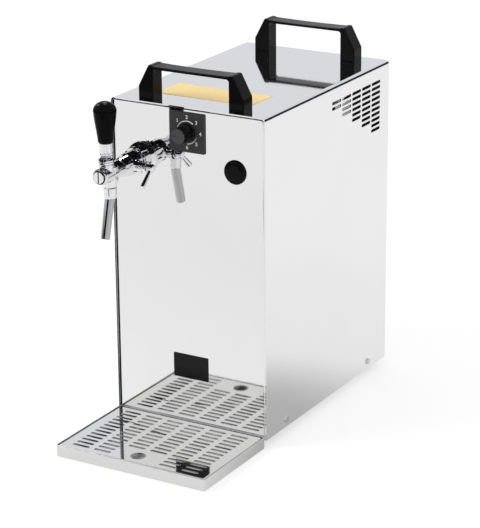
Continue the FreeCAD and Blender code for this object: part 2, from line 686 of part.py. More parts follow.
def make_lever():
    """Lever stem with its ball and finger, chrome ferrule and black grip."""
    px, py, pz = PIVOT
    low, sleeve_top = D.ferrule_start, D.ferrule_start + D.ferrule_long
    rod_top = low + 20
    joint = prism("lever_pivot", (px - 6, py, pz), "+x", D.pivot_radius, 12, 24)
    finger = prism("lever_finger", PIVOT, "-z", 2, D.finger_long, 12)
    tip = prism("lever_tip", (px - 2.3, py, pz - D.finger_long), "+x", D.finger_tip, 4.6, 16)
    stem = prism("lever_rod", PIVOT, "+z", D.stem_radius, rod_top, 16)
    disc = prism("lever_disc", (px, py, pz + D.disc_up), "+z", D.disc_radius, D.disc_thick, 24)
    keep(fuse("lever_stem", [joint, finger, tip, stem, disc]), "lever_stem")

    start = (px, py, pz + low)
    sleeve = prism("ferrule_blank", start, "+z", D.ferrule_radius, D.ferrule_long, 24)
    way = socket("ferrule_hole", (px, py, pz + low - 1), "+z", D.stem_radius, D.ferrule_long + 2, 16)
    keep(cut("lever_ferrule", sleeve, [way]), "lever_ferrule")

    top, r = D.lever_top - D.lever_pivot_up, D.grip_radius
    stations = [(sleeve_top, D.grip_foot)]
    for angle in (0, 28, 52, 74):
        turn = math.radians(angle)
        stations.append((top - r + r * math.sin(turn), r * math.cos(turn)))
    stations.append((top, 1))
    blank = many_sided("grip_blank", PIVOT, "+z", stations)
    deep = rod_top - sleeve_top + 1
    way = socket("grip_hole", (px, py, pz + sleeve_top - 1), "+z", D.stem_radius, deep, 16)
    keep(cut("lever_grip", blank, [way]), "lever_grip")


def make_valve():
    """Valve piston moved by the lever's finger, with its seal behind the seat in the neck."""
    x, y, z = TAP
    lever_y = y - D.lever_ahead
    guide = prism("piston_guide", (x, lever_y + 5, z), "-y", D.valve_radius - D.running, 14, 24)
    stem = prism("piston_stem", (x, y - D.seal_ahead - D.seal_thick, z), "-y", 2.4, 22, 12)
    window = box("piston_slot", (x - 2.9, lever_y - 4.8, z - 1.2), (x + 2.9, lever_y + 2.9, z + 8))
    flat = box("piston_flat", (x - 7, lever_y + 1.5, z - 8), (x + 7, lever_y + 6, z - 3))
    keep(cut("valve_piston", fuse("valve_piston_solid", [guide, stem]), [window, flat]), "valve_piston")
    keep(prism("valve_seal", (x, y - D.seal_ahead, z), "-y", D.seal_radius, D.seal_thick, 24), "valve_seal")


def make_compensator():
    """Flow cone in the chamber, moved along it by an eccentric pin on the side lever's shaft."""
    x, y, z = TAP
    ahead, r, groove = D.compensator_ahead, D.cone_radius, D.cone_groove
    half = D.groove_wide / 2
    cone = many_sided("flow_cone", TAP, "-y", [
        (ahead - 9, r - 2.2), (ahead - 6.8, r), (ahead - half, r), (ahead - half, groove),
        (ahead + half, groove), (ahead + half, r), (ahead + 4, r)], 20)
    keep(cone, "compensator_cone")

    side_y = y - ahead
    journal = prism("side_shaft_journal", (x + 8.7, side_y, z), "+x", D.side_journal_radius, 13.1, 24)
    shaft = prism("side_shaft_end", (x + 20, side_y, z), "+x", D.side_shaft_radius, 9, 16)
    pin = prism("side_shaft_pin", (x + 4.4, side_y, z + D.eccentric), "+x", D.eccentric_pin, 5, 12)
    keep(fuse("side_shaft", [journal, shaft, pin]), "side_shaft")

    centre = (x + D.side_lever_x, side_y, z)
    start = x + D.side_lever_x - 4.4
    hub = prism("side_hub", (start, side_y, z), "+x", D.hub_radius, D.hub_long, 20)
    arm = prism("side_arm", centre, "+z", D.arm_radius, D.side_lever_long, 16)
    move(arm, centre, Rotation(Vector(1, 0, 0), 90 + DIMENSIONS["side_lever_down"]))
    bore = socket("side_hub_bore", (x + 20, side_y, z), "+x", D.side_shaft_radius, 9, 16)
    keep(cut("side_lever", fuse("side_lever_solid", [hub, arm]), [bore]), "side_lever")


def make_spout():
    """A short collar carries the slim outlet tube, which leans towards the glass."""
    x, y, z = TAP
    spout_y = y - D.spout_ahead
    top = z - D.spout_socket_long
    blank = prism("collar_blank", (x, spout_y, top), "-z", D.collar_radius, D.collar_long, 24)
    narrow = socket("collar_bore", (x, spout_y, top + 1), "-z", D.spout_radius + 0.4, D.collar_long)
    flare = socket("collar_flare", (x, spout_y, top - 5), "-z", D.collar_flare, D.collar_long)
    keep(cut("spout_collar", blank, [narrow, flare]), "spout_collar")

    tilt = Rotation(Vector(1, 0, 0), 180 - DIMENSIONS["spout_tilt"])
    bend = (x, spout_y + 0.8, top - 5)
    stub = prism("spout_stub", (x, spout_y, z - 12), "-z", D.spout_radius, 10, 24)
    pipes = []
    for kind, radius, extra in (("outer", D.spout_radius, 0), ("inner", D.spout_bore, 2)):
        pipe = prism(f"spout_{kind}", bend, "+z", radius, D.spout_long + extra, 24)
        move(pipe, bend, tilt)
        pipes.append(pipe)
    bore = prism("spout_stub_bore", (x, spout_y, z - 11), "-z", D.spout_bore, 12, 24)
    keep(cut("spout_tube", fuse("spout_solid", [stub, pipes[0]]), [bore, pipes[1]]), "spout_tube")


# Drip tray

def make_tray():
    """A shallow pan on the counter, and a perforated plate that stands in it on its own rims."""
    gap = 0.3
    w, deep = D.tray_width / 2, D.tray_depth
    body = new_body("drip_tray", (0, FRONT - deep, 0))
    sketch = new_sketch(body, "tray_outline", "XY_Plane")
    round_rectangle(sketch, (-w, as_size(0)), (w, deep - gap), as_size(3))
    pad(body, "tray_pad", sketch, D.tray_top)
    sketch = new_sketch(body, "tray_inner", "XY_Plane", D.tray_top)
    wall = D.tray_wall
    round_rectangle(sketch, (wall - w, wall), (w - wall, deep - gap - wall), as_size(1.6))
    pocket(body, "tray_hollow", sketch, D.tray_top - wall)
    keep(body, "drip_tray")

    rim = D.grid_rim
    half, near_y, far_y = w - rim, -deep + rim, -rim
    body = new_body("drip_grid", (0, FRONT, 0))
    sketch = new_sketch(body, "grid_outline", "XY_Plane", D.tray_wall)
    round_rectangle(sketch, (-half, near_y), (half, far_y), as_size(2.2))
    pad(body, "grid_pad", sketch, D.tray_top - D.tray_wall - 0.4)
    soften(body, "grid_bends", 0.8, lambda edge: edge.BoundBox.ZMin > 13, chamfer=True)
    sketch = new_sketch(body, "grid_under", "XY_Plane", D.tray_wall)
    t = D.plate
    round_rectangle(sketch, (t - half, near_y + t), (half - t, far_y - t), as_size(1))
    pocket(body, "grid_hollow", sketch, D.tray_top - D.tray_wall - 0.4 - t, backwards=True)
    columns = [D.column_pitch * (column - 2.5) for column in range(6)]
    sketch = new_sketch(body, "grid_slots", "XY_Plane")
    for index, u in enumerate(columns):
        slot(sketch, (u, -D.first_row), D.slot_long, D.slot_wide, f"s{index}_")
    full = pocket(body, "grid_slot_cut", sketch)
    repeat(body, "grid_rows", full, "Y_Axis", D.row_pitch, 10, backwards=True)
    sketch = new_sketch(body, "grid_short_slots", "XY_Plane")
    for index, u in enumerate(columns):
        if index not in (2, 3):
            slot(sketch, (u, -D.first_row - D.row_pitch * 10), D.slot_long, D.slot_wide, f"s{index}_")
    short = pocket(body, "grid_short_cut", sketch)
    repeat(body, "grid_short_rows", short, "Y_Axis", D.row_pitch, 3, backwards=True)
    sketch = new_sketch(body, "grid_finger", "XY_Plane")
    circle(sketch, (0, -D.finger_hole_back), D.finger_hole / 2, "hole")
    pocket(body, "grid_finger_cut", sketch)
    keep(body, "drip_grid")


# Cooling works behind the panels

def make_fan():
    """Axial fan in a duct on the rear panel, its motor on a cross and its blades twisted."""
    y, z = REAR - D.fan_ahead, D.fan_z
    wide, high = D.duct_wide / 2, D.duct_high / 2
    bar, thick, can_radius = D.duct_bar / 2, 4, D.motor_radius
    plate = box("shroud_plate", (-wide, y, z - high), (wide, REAR - D.plate, z + high))
    hole = rod("shroud_hole", (0, y - 1, z), "+y", D.fan_radius + 3, D.fan_ahead)
    reach = D.fan_radius + 4
    arms = [box("shroud_arm_flat", (-reach, y, z - bar), (reach, y + thick, z + bar)),
            box("shroud_arm_tall", (-bar, y, z - reach), (bar, y + thick, z + reach))]
    frame = cut("shroud_frame", plate, [hole])
    seat = prism("shroud_seat", (0, y - 1, z), "+y", can_radius, 9, 12)
    bars = cut("shroud_bars", fuse("shroud_cross", arms), [seat])
    keep(fuse("fan_shroud", [frame, bars]), "fan_shroud")

    can = prism("fan_motor_can", (0, y - 18, z), "+y", can_radius, 24, 12)
    axle = prism("fan_motor_axle", (0, y, z), "+y", D.axle_radius, 22, 12)
    keep(fuse("fan_motor", [can, axle]), "fan_motor")

    wheel_y = y + 17
    blank = prism("fan_hub_blank", (0, wheel_y - 6, z), "+y", D.fan_hub, 12, 24)
    bore = socket("fan_hub_bore", (0, y, z), "+y", D.axle_radius + D.running, 22.5, 12)
    hub = cut("fan_hub", blank, [bore])
    blades = []
    for index in range(DIMENSIONS["fan_blades"]):
        angle = 360 * index / DIMENSIONS["fan_blades"]
        blade = doc.addObject("Part::Box", f"fan_blade_{index}")
        bind(blade, "Length", D.fan_radius - D.fan_hub)
        blade.Width = 1.6
        bind(blade, "Height", D.blade_wide)
        pitch = Placement(Vector(15, 0, 0), Rotation(Vector(1, 0, 0), DIMENSIONS["blade_pitch"]))
        offset = Placement(Vector(0, -0.8, -DIMENSIONS["blade_wide"] / 2), Rotation())
        spin = Placement(Vector(0, 0, 0), Rotation(Vector(0, 1, 0), angle))
        centre = Placement(Vector(0, wheel_y.value, z.value), Rotation())
        blade.Placement = centre.multiply(spin).multiply(pitch).multiply(offset)
        blades.append(blade)
    keep(fuse("fan_wheel", [hub] + blades), "fan_wheel")


def make_condenser():
    """Finned condenser in front of the fan, seen as grey behind the side vents."""
    far = REAR - D.fan_ahead
    y0, y1 = far - D.coil_gap - D.coil_deep, far - D.coil_gap
    z0, z1 = D.fan_z - D.coil_high / 2, D.fan_z + D.coil_high / 2
    left, step = -D.coil_wide / 2, D.coil_wide / 16
    fins = []
    for index in range(17):
        x = left - 0.6 + step * index
        fins.append(box(f"condenser_fin_{index}", (x, y0, z0), (x + D.plate, y1, z1)))
    core = box("condenser_core", (left, y0 + 14, z0 + 4), (-left, y1 - 14, z1 - 4))
    hangers = []
    for index, x in enumerate((-D.hanger_x, D.hanger_x - D.plate)):
        hangers.append(box(f"condenser_hanger_{index}", (x, y1 - 16, z0 + 6), (x + D.plate, far, z1 - 6)))
    keep(fuse("condenser", fins + [core] + hangers), "condenser")


def make_compressor():
    """Hermetic compressor: a welded can with a bevelled top on four feet."""
    x, y, z = D.compressor_x, REAR - D.compressor_ahead, FLOOR
    r, high = D.compressor_radius, D.compressor_high
    can = many_sided("compressor_can", (x, y, z), "+z", [(12, r), (high - 6, r), (high, r - 6)], 32)
    corners = [(x + dx, y + dy) for dx in (-36, 36) for dy in (-36, 36)]
    feet = [box(f"compressor_leg_{index}", (u - 10, v - 10, z), (u + 10, v + 10, z + 13))
            for index, (u, v) in enumerate(corners)]
    keep(fuse("compressor", [can] + feet), "compressor")


def make_cooling_block():
    """Insulated aluminium block with the cast-in beer coil; only its jacket is seen."""
    wide, deep, low = D.block_wide / 2, D.block_deep, D.block_foot
    body = new_body("cooling_block", (0, FRONT + D.block_back, low))
    sketch = new_sketch(body, "block_outline", "XY_Plane")
    rectangle(sketch, (-wide, 0), (wide, deep))
    pad(body, "block_pad", sketch, D.block_high)
    keep(body, "cooling_block")
    near = FRONT + D.block_back + 6
    legs = [box(f"block_leg_{index}", (x - 6, near, FLOOR), (x + 6, near + deep - 12, low))
            for index, x in enumerate((-D.block_leg, D.block_leg))]
    keep(group("block_stand", legs), "block_stand")


def make_air_pump():
    """Diaphragm air pump that pressurises the keg."""
    x, y, half = D.inlet_x, REAR - D.pump_ahead, D.pump_wide / 2
    case = box("pump_case", (x - half, y, FLOOR), (x + half, y + D.pump_deep, FLOOR + D.pump_high))
    head = prism("pump_head", (x, y + D.pump_deep, D.outlet_z), "+y", 12, D.pump_head, 12)
    keep(fuse("air_pump", [case, head]), "air_pump")


def make_lines():
    """Beer line to the block and on to the tap, and the air line from pump to rear fitting."""
    x, z = D.tap_x, D.tap_z
    behind = FRONT + D.shank_behind + 6
    block_top = D.block_foot + D.block_high
    pipe = prism("beer_line_pipe", (x, behind, block_top), "+z", D.beer_tube, z - block_top, 12)
    elbow = box("beer_line_elbow", (x - 9, behind - 6, z - 9), (x + 9, behind + 8, z + 9))
    keep(fuse("beer_line_out", [pipe, elbow]), "beer_line_out")

    far = REAR + D.tube_seat
    for name, start, z, r in (
            ("beer_line_in", FRONT + D.block_back + D.block_deep, D.inlet_z, D.beer_tube),
            ("air_line", REAR - D.pump_ahead + D.pump_deep + D.pump_head, D.outlet_z, D.air_tube)):
        keep(prism(name, (D.inlet_x, start, z), "+y", r, far - start, 12), name)


def make_rear_fittings():
    """Push-in fittings for beer and air, mains gland and rocker switch on the rear panel."""
    x, reach = D.inlet_x, D.rear_reach
    for name, z, hexagon, outer, bore, tube in (
            ("beer_inlet", D.inlet_z, 12, 8.6, D.inlet_radius, D.beer_tube),
            ("air_outlet", D.outlet_z, 9.5, 6.6, D.outlet_radius, D.air_tube)):
        flange = prism(name + "_hex", (x, REAR, z), "+y", hexagon, 7)
        sleeve = prism(name + "_sleeve", (x, REAR, z), "+y", outer, reach, 24)
        mouth = rod(name + "_bore", (x, REAR + 6, z), "+y", bore, reach)
        back = prism(name + "_tube_seat", (x, REAR - 1, z), "+y", tube, D.tube_seat + 1, 12)
        keep(cut(name, fuse(name + "_solid", [flange, sleeve]), [mouth, back]), name)
    at = (D.gland_x, REAR, D.gland_z)
    base = prism("gland_hex", at, "+y", 11, 5)
    neck = prism("gland_neck", at, "+y", 7.5, 17, 24)
    hole = rod("gland_bore", (D.gland_x, REAR - 1, D.gland_z), "+y", D.gland_radius, 30)
    keep(cut("cable_gland", fuse("gland_solid", [base, neck]), [hole]), "cable_gland")


def make_switch():
    """Rocker switch snapped into the rear panel; the rocker swings on two pins in its frame."""
    x, z = D.switch_x, D.switch_z
    wide, high = D.switch_wide / 2, D.switch_high / 2
    hinge = REAR - 1.5
    rim = box("switch_rim", (x - wide - 2, REAR, z - high - 2), (x + wide + 2, REAR + 1.6, z + high + 2))
    inner, tall = wide - 0.2, high - 0.2
    case = box("switch_case", (x - inner, REAR - 18, z - tall), (x + inner, REAR + 1, z + tall))
    well = box("switch_well", (x - wide + 3, REAR - 9, z - high + 3), (x + wide - 3, REAR + 4, z + high - 3))
    seats = socket("switch_pin_seats", (x - 10.6, hinge, z), "+x", D.rocker_pin + D.running, 21.2, 16)
    keep(cut("switch_frame", fuse("switch_solid", [rim, case]), [well, seats]), "switch_frame")
    half = wide - 3.4
    body = new_body("rocker_block", (x - half, REAR, z))
    sketch = new_sketch(body, "rocker_profile", "YZ_Plane")
    outline(sketch, [(-4, -5.6), (-0.4, -7.4), (1.4, -7.2), (1.6, 0), (4.2, 7), (0, 7.4), (-4, 5.6)])
    pad(body, "rocker_pad", sketch, half * 2)
    pins = prism("rocker_pins", (x - 10.2, hinge, z), "+x", D.rocker_pin, 20.4, 16)
    keep(fuse("switch_rocker", [body, pins]), "switch_rocker")


make_cover()
keep(make_panel("front_panel", FRONT, True, front_holes), "front_panel")
make_rear_panel()
make_base_pan()
make_feet()
make_cover_screws()
make_handle("front_handle", D.front_handle_back)
make_handle("rear_handle", D.rear_handle_back)
make_handle_screws()
make_plate("dial_plate", (D.dial_x, D.dial_z), D.dial_side, D.dial_side, D.dial_thick, as_size(1.6),
           D.dial_hole)
make_plate("badge_plate", (D.dial_x, D.badge_z), D.badge_wide, D.badge_high, D.badge_thick, as_size(0.8))
make_top_label()
make_thermostat()
make_hole_plug()
make_tap_mounting()
make_tap_body()
make_tap_caps()
make_lever()
make_valve()
make_compensator()
make_spout()
make_tray()
make_fan()
make_condenser()
make_compressor()
make_cooling_block()
make_air_pump()
make_lines()
make_rear_fittings()
make_switch()

doc.recompute()
failed = [thing.Name for thing in doc.Objects if {"Invalid", "Error"} & set(thing.State)]
if failed:
    raise RuntimeError(f"did not build: {failed}")
for thing in sub_parts:
    if thing.Shape.isNull() or not thing.Shape.isValid():
        raise RuntimeError(f"{thing.Label} has no valid shape")
for thing in sub_parts:
    thing.Shape.exportStep(f"parts/{thing.Label}.step")
print(len(sub_parts), "sub-parts written")
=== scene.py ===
import math

import bmesh
import bpy
from mathutils import Matrix, Vector


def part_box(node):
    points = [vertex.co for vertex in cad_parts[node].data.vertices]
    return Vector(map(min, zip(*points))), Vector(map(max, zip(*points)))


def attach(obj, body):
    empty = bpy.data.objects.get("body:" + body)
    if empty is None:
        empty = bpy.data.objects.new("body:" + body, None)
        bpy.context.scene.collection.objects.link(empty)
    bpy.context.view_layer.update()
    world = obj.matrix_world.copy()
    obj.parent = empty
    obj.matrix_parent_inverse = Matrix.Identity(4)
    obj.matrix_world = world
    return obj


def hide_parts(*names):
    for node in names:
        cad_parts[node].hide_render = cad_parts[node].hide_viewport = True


# Looks of the counter-top beer cooler: polished sheet steel, chrome tap, black mouldings.
# Sizes are millimetres in the frame of the part, and are scaled to metres when a mesh is made.

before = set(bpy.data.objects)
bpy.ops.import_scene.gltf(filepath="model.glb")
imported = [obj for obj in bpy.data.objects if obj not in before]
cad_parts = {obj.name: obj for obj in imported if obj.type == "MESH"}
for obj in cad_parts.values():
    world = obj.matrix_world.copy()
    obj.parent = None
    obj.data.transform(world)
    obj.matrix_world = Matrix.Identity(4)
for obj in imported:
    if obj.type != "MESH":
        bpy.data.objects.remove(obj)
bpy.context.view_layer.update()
MM = 0.001


def span(node):
    """Lowest and highest corner of a CAD node in millimetres."""
    low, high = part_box(node)
    return low / MM, high / MM


def middle(node, axis):
    """Middle of a CAD node along an axis, in millimetres."""
    low, high = span(node)
    return (low[axis] + high[axis]) / 2


X, Y, Z = range(3)
COVER_LOW, COVER_HIGH = span("cover")
HALF = COVER_HIGH.x
FRONT = COVER_LOW.y
REAR = COVER_HIGH.y
FOOT = COVER_LOW.z
TOP = COVER_HIGH.z
PLATE = 1.2
TAU = 2 * math.pi


# Materials

def new_material(name):
    material = bpy.data.materials.new(name)
    material.use_nodes = True
    nodes = material.node_tree.nodes
    return material, nodes, material.node_tree.links, nodes["Principled BSDF"]


def noise(nodes, links, scale, detail=3.0, roughness=0.5, stretch=(1, 1, 1)):
    """Noise in the object's own coordinates, with metres as the unit."""
    place = nodes.new("ShaderNodeTexCoord")
    mapping = nodes.new("ShaderNodeMapping")
    mapping.inputs["Scale"].default_value = stretch
    texture = nodes.new("ShaderNodeTexNoise")
    texture.inputs["Scale"].default_value = scale
    texture.inputs["Detail"].default_value = detail
    texture.inputs["Roughness"].default_value = roughness
    links.new(place.outputs["Object"], mapping.inputs["Vector"])
    links.new(mapping.outputs["Vector"], texture.inputs["Vector"])
    return texture.outputs["Fac"]


def between(nodes, links, fac, low, high, start=0.3, end=0.7, interpolation="LINEAR"):
    """A number that runs from low to high as fac runs from start to end."""
    ranged = nodes.new("ShaderNodeMapRange")
    ranged.interpolation_type = interpolation
    ranged.inputs["From Min"].default_value = start
    ranged.inputs["From Max"].default_value = end
    ranged.inputs["To Min"].default_value = low
    ranged.inputs["To Max"].default_value = high
    links.new(fac, ranged.inputs["Value"])
    return ranged.outputs["Result"]


def mix_colours(nodes, links, fac, dark, light):
    mix = nodes.new("ShaderNodeMix")
    mix.data_type = "RGBA"
    mix.inputs["A"].default_value = (*dark, 1)
    mix.inputs["B"].default_value = (*light, 1)
    links.new(fac, mix.inputs["Factor"])
    return mix.outputs["Result"]


def bump(nodes, links, height, strength, distance, normal=None):
    node = nodes.new("ShaderNodeBump")
    node.inputs["Strength"].default_value = strength
    node.inputs["Distance"].default_value = distance
    links.new(height, node.inputs["Height"])
    if normal:
        links.new(normal, node.inputs["Normal"])
    return node.outputs["Normal"]


def metal(name, colour, rough, wave=0.0, wave_scale=7.0, grain=None, spread=0.02):
    """Bare or plated metal: slow waves bend its reflections, fine grain breaks up its gloss."""
    material, nodes, links, shader = new_material(name)
    shader.inputs["Metallic"].default_value = 1.0
    fine = noise(nodes, links, scale=420.0, detail=4.0, roughness=0.6, stretch=grain or (1, 1, 1))
    links.new(between(nodes, links, fine, rough, rough + spread), shader.inputs["Roughness"])
    slow = noise(nodes, links, scale=9.0, detail=2.0)
    darker = tuple(channel * 0.97 for channel in colour)
    links.new(mix_colours(nodes, links, slow, darker, colour), shader.inputs["Base Color"])
    normal = None
    if wave:
        waves = noise(nodes, links, wave_scale, detail=1.0)
        normal = bump(nodes, links, waves, strength=1.0, distance=wave)
    if grain:
        normal = bump(nodes, links, fine, strength=0.06, distance=0.00004, normal=normal)
    if normal:
        links.new(normal, shader.inputs["Normal"])
    return material


def plastic(name, colour, rough, grain=0.02, index=1.5, scale=900.0):
    """Moulded plastic or paint with a fine grain and slightly uneven gloss."""
    material, nodes, links, shader = new_material(name)
    shader.inputs["IOR"].default_value = index
    fine = noise(nodes, links, scale, roughness=0.6)
    slow = noise(nodes, links, scale=30.0)
    lighter = tuple(min(channel * 1.25 + 0.003, 1) for channel in colour)
    links.new(mix_colours(nodes, links, slow, colour, lighter), shader.inputs["Base Color"])
    links.new(between(nodes, links, slow, rough * 0.9, rough * 1.15), shader.inputs["Roughness"])
    links.new(bump(nodes, links, fine, strength=grain, distance=0.0002), shader.inputs["Normal"])
    return material


SHEET = metal("polished_sheet", (0.9, 0.9, 0.9), 0.035, wave=0.00005, wave_scale=5.0)
TRAY_STEEL = metal("tray_steel", (0.8, 0.8, 0.79), 0.16, wave=0.0002, wave_scale=40.0, grain=(1, 9, 9),
                   spread=0.12)
GRID_STEEL = metal("grid_steel", (0.88, 0.88, 0.87), 0.045, wave=0.00003, wave_scale=8.0)
CHROME = metal("tap_chrome", (0.88, 0.88, 0.89), 0.03, wave=0.00002, wave_scale=60.0)
SPOUT_STEEL = metal("spout_steel", (0.52, 0.52, 0.52), 0.09, grain=(9, 9, 1))
SCREW_STEEL = metal("screw_steel", (0.7, 0.7, 0.71), 0.18)
ZINC = metal("zinc_sheet", (0.62, 0.63, 0.65), 0.33, grain=(1, 1, 1), spread=0.15)
ALUMINIUM = metal("fin_aluminium", (0.75, 0.75, 0.76), 0.3)
BLACK = plastic("black_moulding", (0.004, 0.004, 0.0042), 0.15, grain=0.004, index=1.16)
GRIP_BLACK = plastic("grip_black", (0.002, 0.002, 0.002), 0.07, grain=0.001, index=1.13)
DIAL_BLACK = plastic("dial_black", (0.035, 0.035, 0.037), 0.42)
KNOB_FACE = plastic("knob_face", (0.06, 0.06, 0.063), 0.4)
KNOB_BLACK = plastic("knob_black", (0.006, 0.006, 0.006), 0.16, grain=0.006, index=1.3)
BADGE_BLACK = plastic("badge_black", (0.006, 0.006, 0.006), 0.12, grain=0.003, index=1.25)
PRINT_WHITE = plastic("print_white", (0.75, 0.75, 0.75), 0.5)
LABEL = plastic("label_film", (0.96, 0.66, 0.3), 0.5, index=1.3)
RUBBER = plastic("rubber", (0.018, 0.018, 0.018), 0.7, grain=0.1)
INNER_BLACK = plastic("inner_black", (0.02, 0.02, 0.022), 0.5)
DARK_PAINT = plastic("dark_paint", (0.03, 0.03, 0.033), 0.35)
FOAM = plastic("foam_jacket", (0.06, 0.06, 0.06), 0.8, grain=0.3, scale=300)
HOSE = plastic("milky_hose", (0.72, 0.73, 0.7), 0.35)
FITTING = plastic("fitting_grey", (0.2, 0.2, 0.21), 0.4)
ROCKER = plastic("rocker_black", (0.012, 0.012, 0.012), 0.3)


# Mesh helpers

def arc_points(centre, radius, start, end, steps):
    """Points on an arc, angles in radians."""
    angles = [start + (end - start) * index / steps for index in range(steps + 1)]
    return [(centre[0] + radius * math.cos(a), centre[1] + radius * math.sin(a)) for a in angles]


def rounded(corners, steps=6, closed=True):
    """A polygon from corners (u, v) or (u, v, radius), where a radius rounds its corner."""
    count = len(corners)
    points = []
    for index, corner in enumerate(corners):
        here = Vector(corner[:2])
        radius = corner[2] if len(corner) > 2 else 0
        if not radius or (not closed and index in (0, count - 1)):
            points.append(tuple(here))
            continue
        back = (Vector(corners[index - 1][:2]) - here).normalized()
        ahead = (Vector(corners[(index + 1) % count][:2]) - here).normalized()
        half = math.acos(max(-1, min(1, back.dot(ahead)))) / 2
        centre = here + (back + ahead).normalized() * (radius / math.sin(half))
        first = here + back * (radius / math.tan(half)) - centre
        last = here + ahead * (radius / math.tan(half)) - centre
        turn = first.angle_signed(last)
        for step in range(steps + 1):
            angle = -turn * step / steps
            swung = Matrix.Rotation(angle, 2) @ first
            points.append(tuple(centre + swung))
    return points


def stadium(centre, length, width, steps=6):
    """Outline of a slot with round ends along the first axis."""
    u, v = centre
    reach, r = (length - width) / 2, width / 2
    right = arc_points((u + reach, v), r, -math.pi / 2, math.pi / 2, steps)
    left = arc_points((u - reach, v), r, math.pi / 2, 3 * math.pi / 2, steps)
    return right + left


def ring(centre, radius, steps=48):
    """Points of a full circle."""
    return arc_points(centre, radius, 0, TAU, steps)[:-1]


def finish_mesh(mesh, angle=38, weld=0.0):
    """Merge doubles, set smooth shading with sharp edges over an angle, and face normals outward."""
    work = bmesh.new()
    work.from_mesh(mesh)
    if weld:
        bmesh.ops.remove_doubles(work, verts=work.verts, dist=weld * MM)
    bmesh.ops.recalc_face_normals(work, faces=work.faces)
    limit = math.radians(angle)
    for face in work.faces:
        face.smooth = True
    for edge in work.edges:
        edge.smooth = len(edge.link_faces) == 2 and edge.calc_face_angle(0) < limit
    work.to_mesh(mesh)
    work.free()


def apply_modifiers(piece):
    graph = bpy.context.evaluated_depsgraph_get()
    mesh = bpy.data.meshes.new_from_object(piece.evaluated_get(graph))
    piece.modifiers.clear()
    old = piece.data
    piece.data = mesh
    bpy.data.meshes.remove(old)
    mesh.name = piece.name


def weigh_normals(piece):
    """Large flat faces keep their own normal, so that polished sheets mirror without bending."""
    modifier = piece.modifiers.new("weights", "WEIGHTED_NORMAL")
    modifier.weight = 90
    modifier.keep_sharp = True
    apply_modifiers(piece)


def new_piece(name, mesh, material, body, replaces=(), angle=38, weld=0.0, solid=0.0):
    """Link a mesh as a piece that rides on a body and stands for its CAD nodes."""
    piece = bpy.data.objects.new(name, mesh)
    bpy.context.scene.collection.objects.link(piece)
    finish_mesh(mesh, angle, weld)
    if solid:
        shell = piece.modifiers.new("thickness", "SOLIDIFY")
        shell.thickness = solid * MM
        shell.offset = -1
        apply_modifiers(piece)
        finish_mesh(piece.data, angle)
    piece.data.materials.clear()
    piece.data.materials.append(material)
    weigh_normals(piece)
    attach(piece, body)
    if replaces:
        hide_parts(*replaces)
    return piece


def mesh_from(points, faces):
    mesh = bpy.data.meshes.new("made")
    mesh.from_pydata([Vector(point) * MM for point in points], [], faces)
    mesh.update()
    return mesh


def merged(meshes):
    """One mesh out of several, which are removed."""
    work = bmesh.new()
    for mesh in meshes:
        work.from_mesh(mesh)
        bpy.data.meshes.remove(mesh)
    out = bpy.data.meshes.new("merged")
    work.to_mesh(out)
    work.free()
    return out


AXES = {
    "-y": (Vector((1, 0, 0)), Vector((0, 0, 1)), Vector((0, -1, 0))),
    "+z": (Vector((1, 0, 0)), Vector((0, 1, 0)), Vector((0, 0, 1))),
    "-z": (Vector((1, 0, 0)), Vector((0, 1, 0)), Vector((0, 0, -1))),
    "+x": (Vector((0, 1, 0)), Vector((0, 0, 1)), Vector((1, 0, 0))),
}


def turned(origin, way, corners, segments=72, steps=5, closed=False):
    """A mesh turned about an axis, from profile corners (distance, radius, rounding)."""
    side, up, along = AXES[way] if isinstance(way, str) else way
    origin = Vector(origin)
    profile = rounded(corners, steps, closed)
    points, rings = [], []
    for distance, radius in profile:
        base = origin + along * distance
        if radius < 0.001:
            rings.append([len(points)])
            points.append(base)
            continue
        rings.append(list(range(len(points), len(points) + segments)))
        for index in range(segments):
            angle = TAU * index / segments
            points.append(base + (side * math.cos(angle) + up * math.sin(angle)) * radius)
    faces = []
    pairs = list(zip(rings, rings[1:] + ([rings[0]] if closed else [])))
    if not closed:
        pairs = pairs[:len(rings) - 1]
    for one, two in pairs:
        if len(one) == 1 and len(two) == 1:
            continue
        for index in range(segments):
            follow = (index + 1) % segments
            if len(one) == 1:
                faces.append((one[0], two[index], two[follow]))
            elif len(two) == 1:
                faces.append((one[index], one[follow], two[0]))
            else:
                faces.append((one[index], one[follow], two[follow], two[index]))
    return mesh_from(points, faces)


def flat_sheet(outline, holes=(), thick=0.0, edge=0.0, place=Matrix.Identity(4), edge_steps=2):
    """A filled flat outline with holes, in the XY plane of its place, solid if it has a thickness."""
    curve = bpy.data.curves.new("flat", "CURVE")
    curve.dimensions = "2D"
    curve.fill_mode = "BOTH" if thick else "FRONT"
    for path in [outline, *holes]:
        spline = curve.splines.new("POLY")
        spline.points.add(len(path) - 1)
        for point, (u, v) in zip(spline.points, path):
            point.co = (u * MM, v * MM, 0, 1)
        spline.use_cyclic_u = True
    if thick:
        curve.extrude = (thick / 2 - edge) * MM
        curve.bevel_depth = edge * MM
        curve.bevel_resolution = edge_steps
        curve.offset = -edge * MM
    holder = bpy.data.objects.new("flat", curve)
    bpy.context.scene.collection.objects.link(holder)
    graph = bpy.context.evaluated_depsgraph_get()
    mesh = bpy.data.meshes.new_from_object(holder.evaluated_get(graph))
    bpy.data.objects.remove(holder)
    bpy.data.curves.remove(curve)
    move = place.copy()
    move.translation = place.translation * MM
    mesh.transform(move)
    return mesh


def frame_of(origin, side, up):
    """A matrix whose X, Y and Z are side, up and their cross product."""
    side, up = Vector(side), Vector(up)
    out = side.cross(up)
    matrix = Matrix((side, up, out)).transposed().to_4x4()
    matrix.translation = Vector(origin)
    return matrix


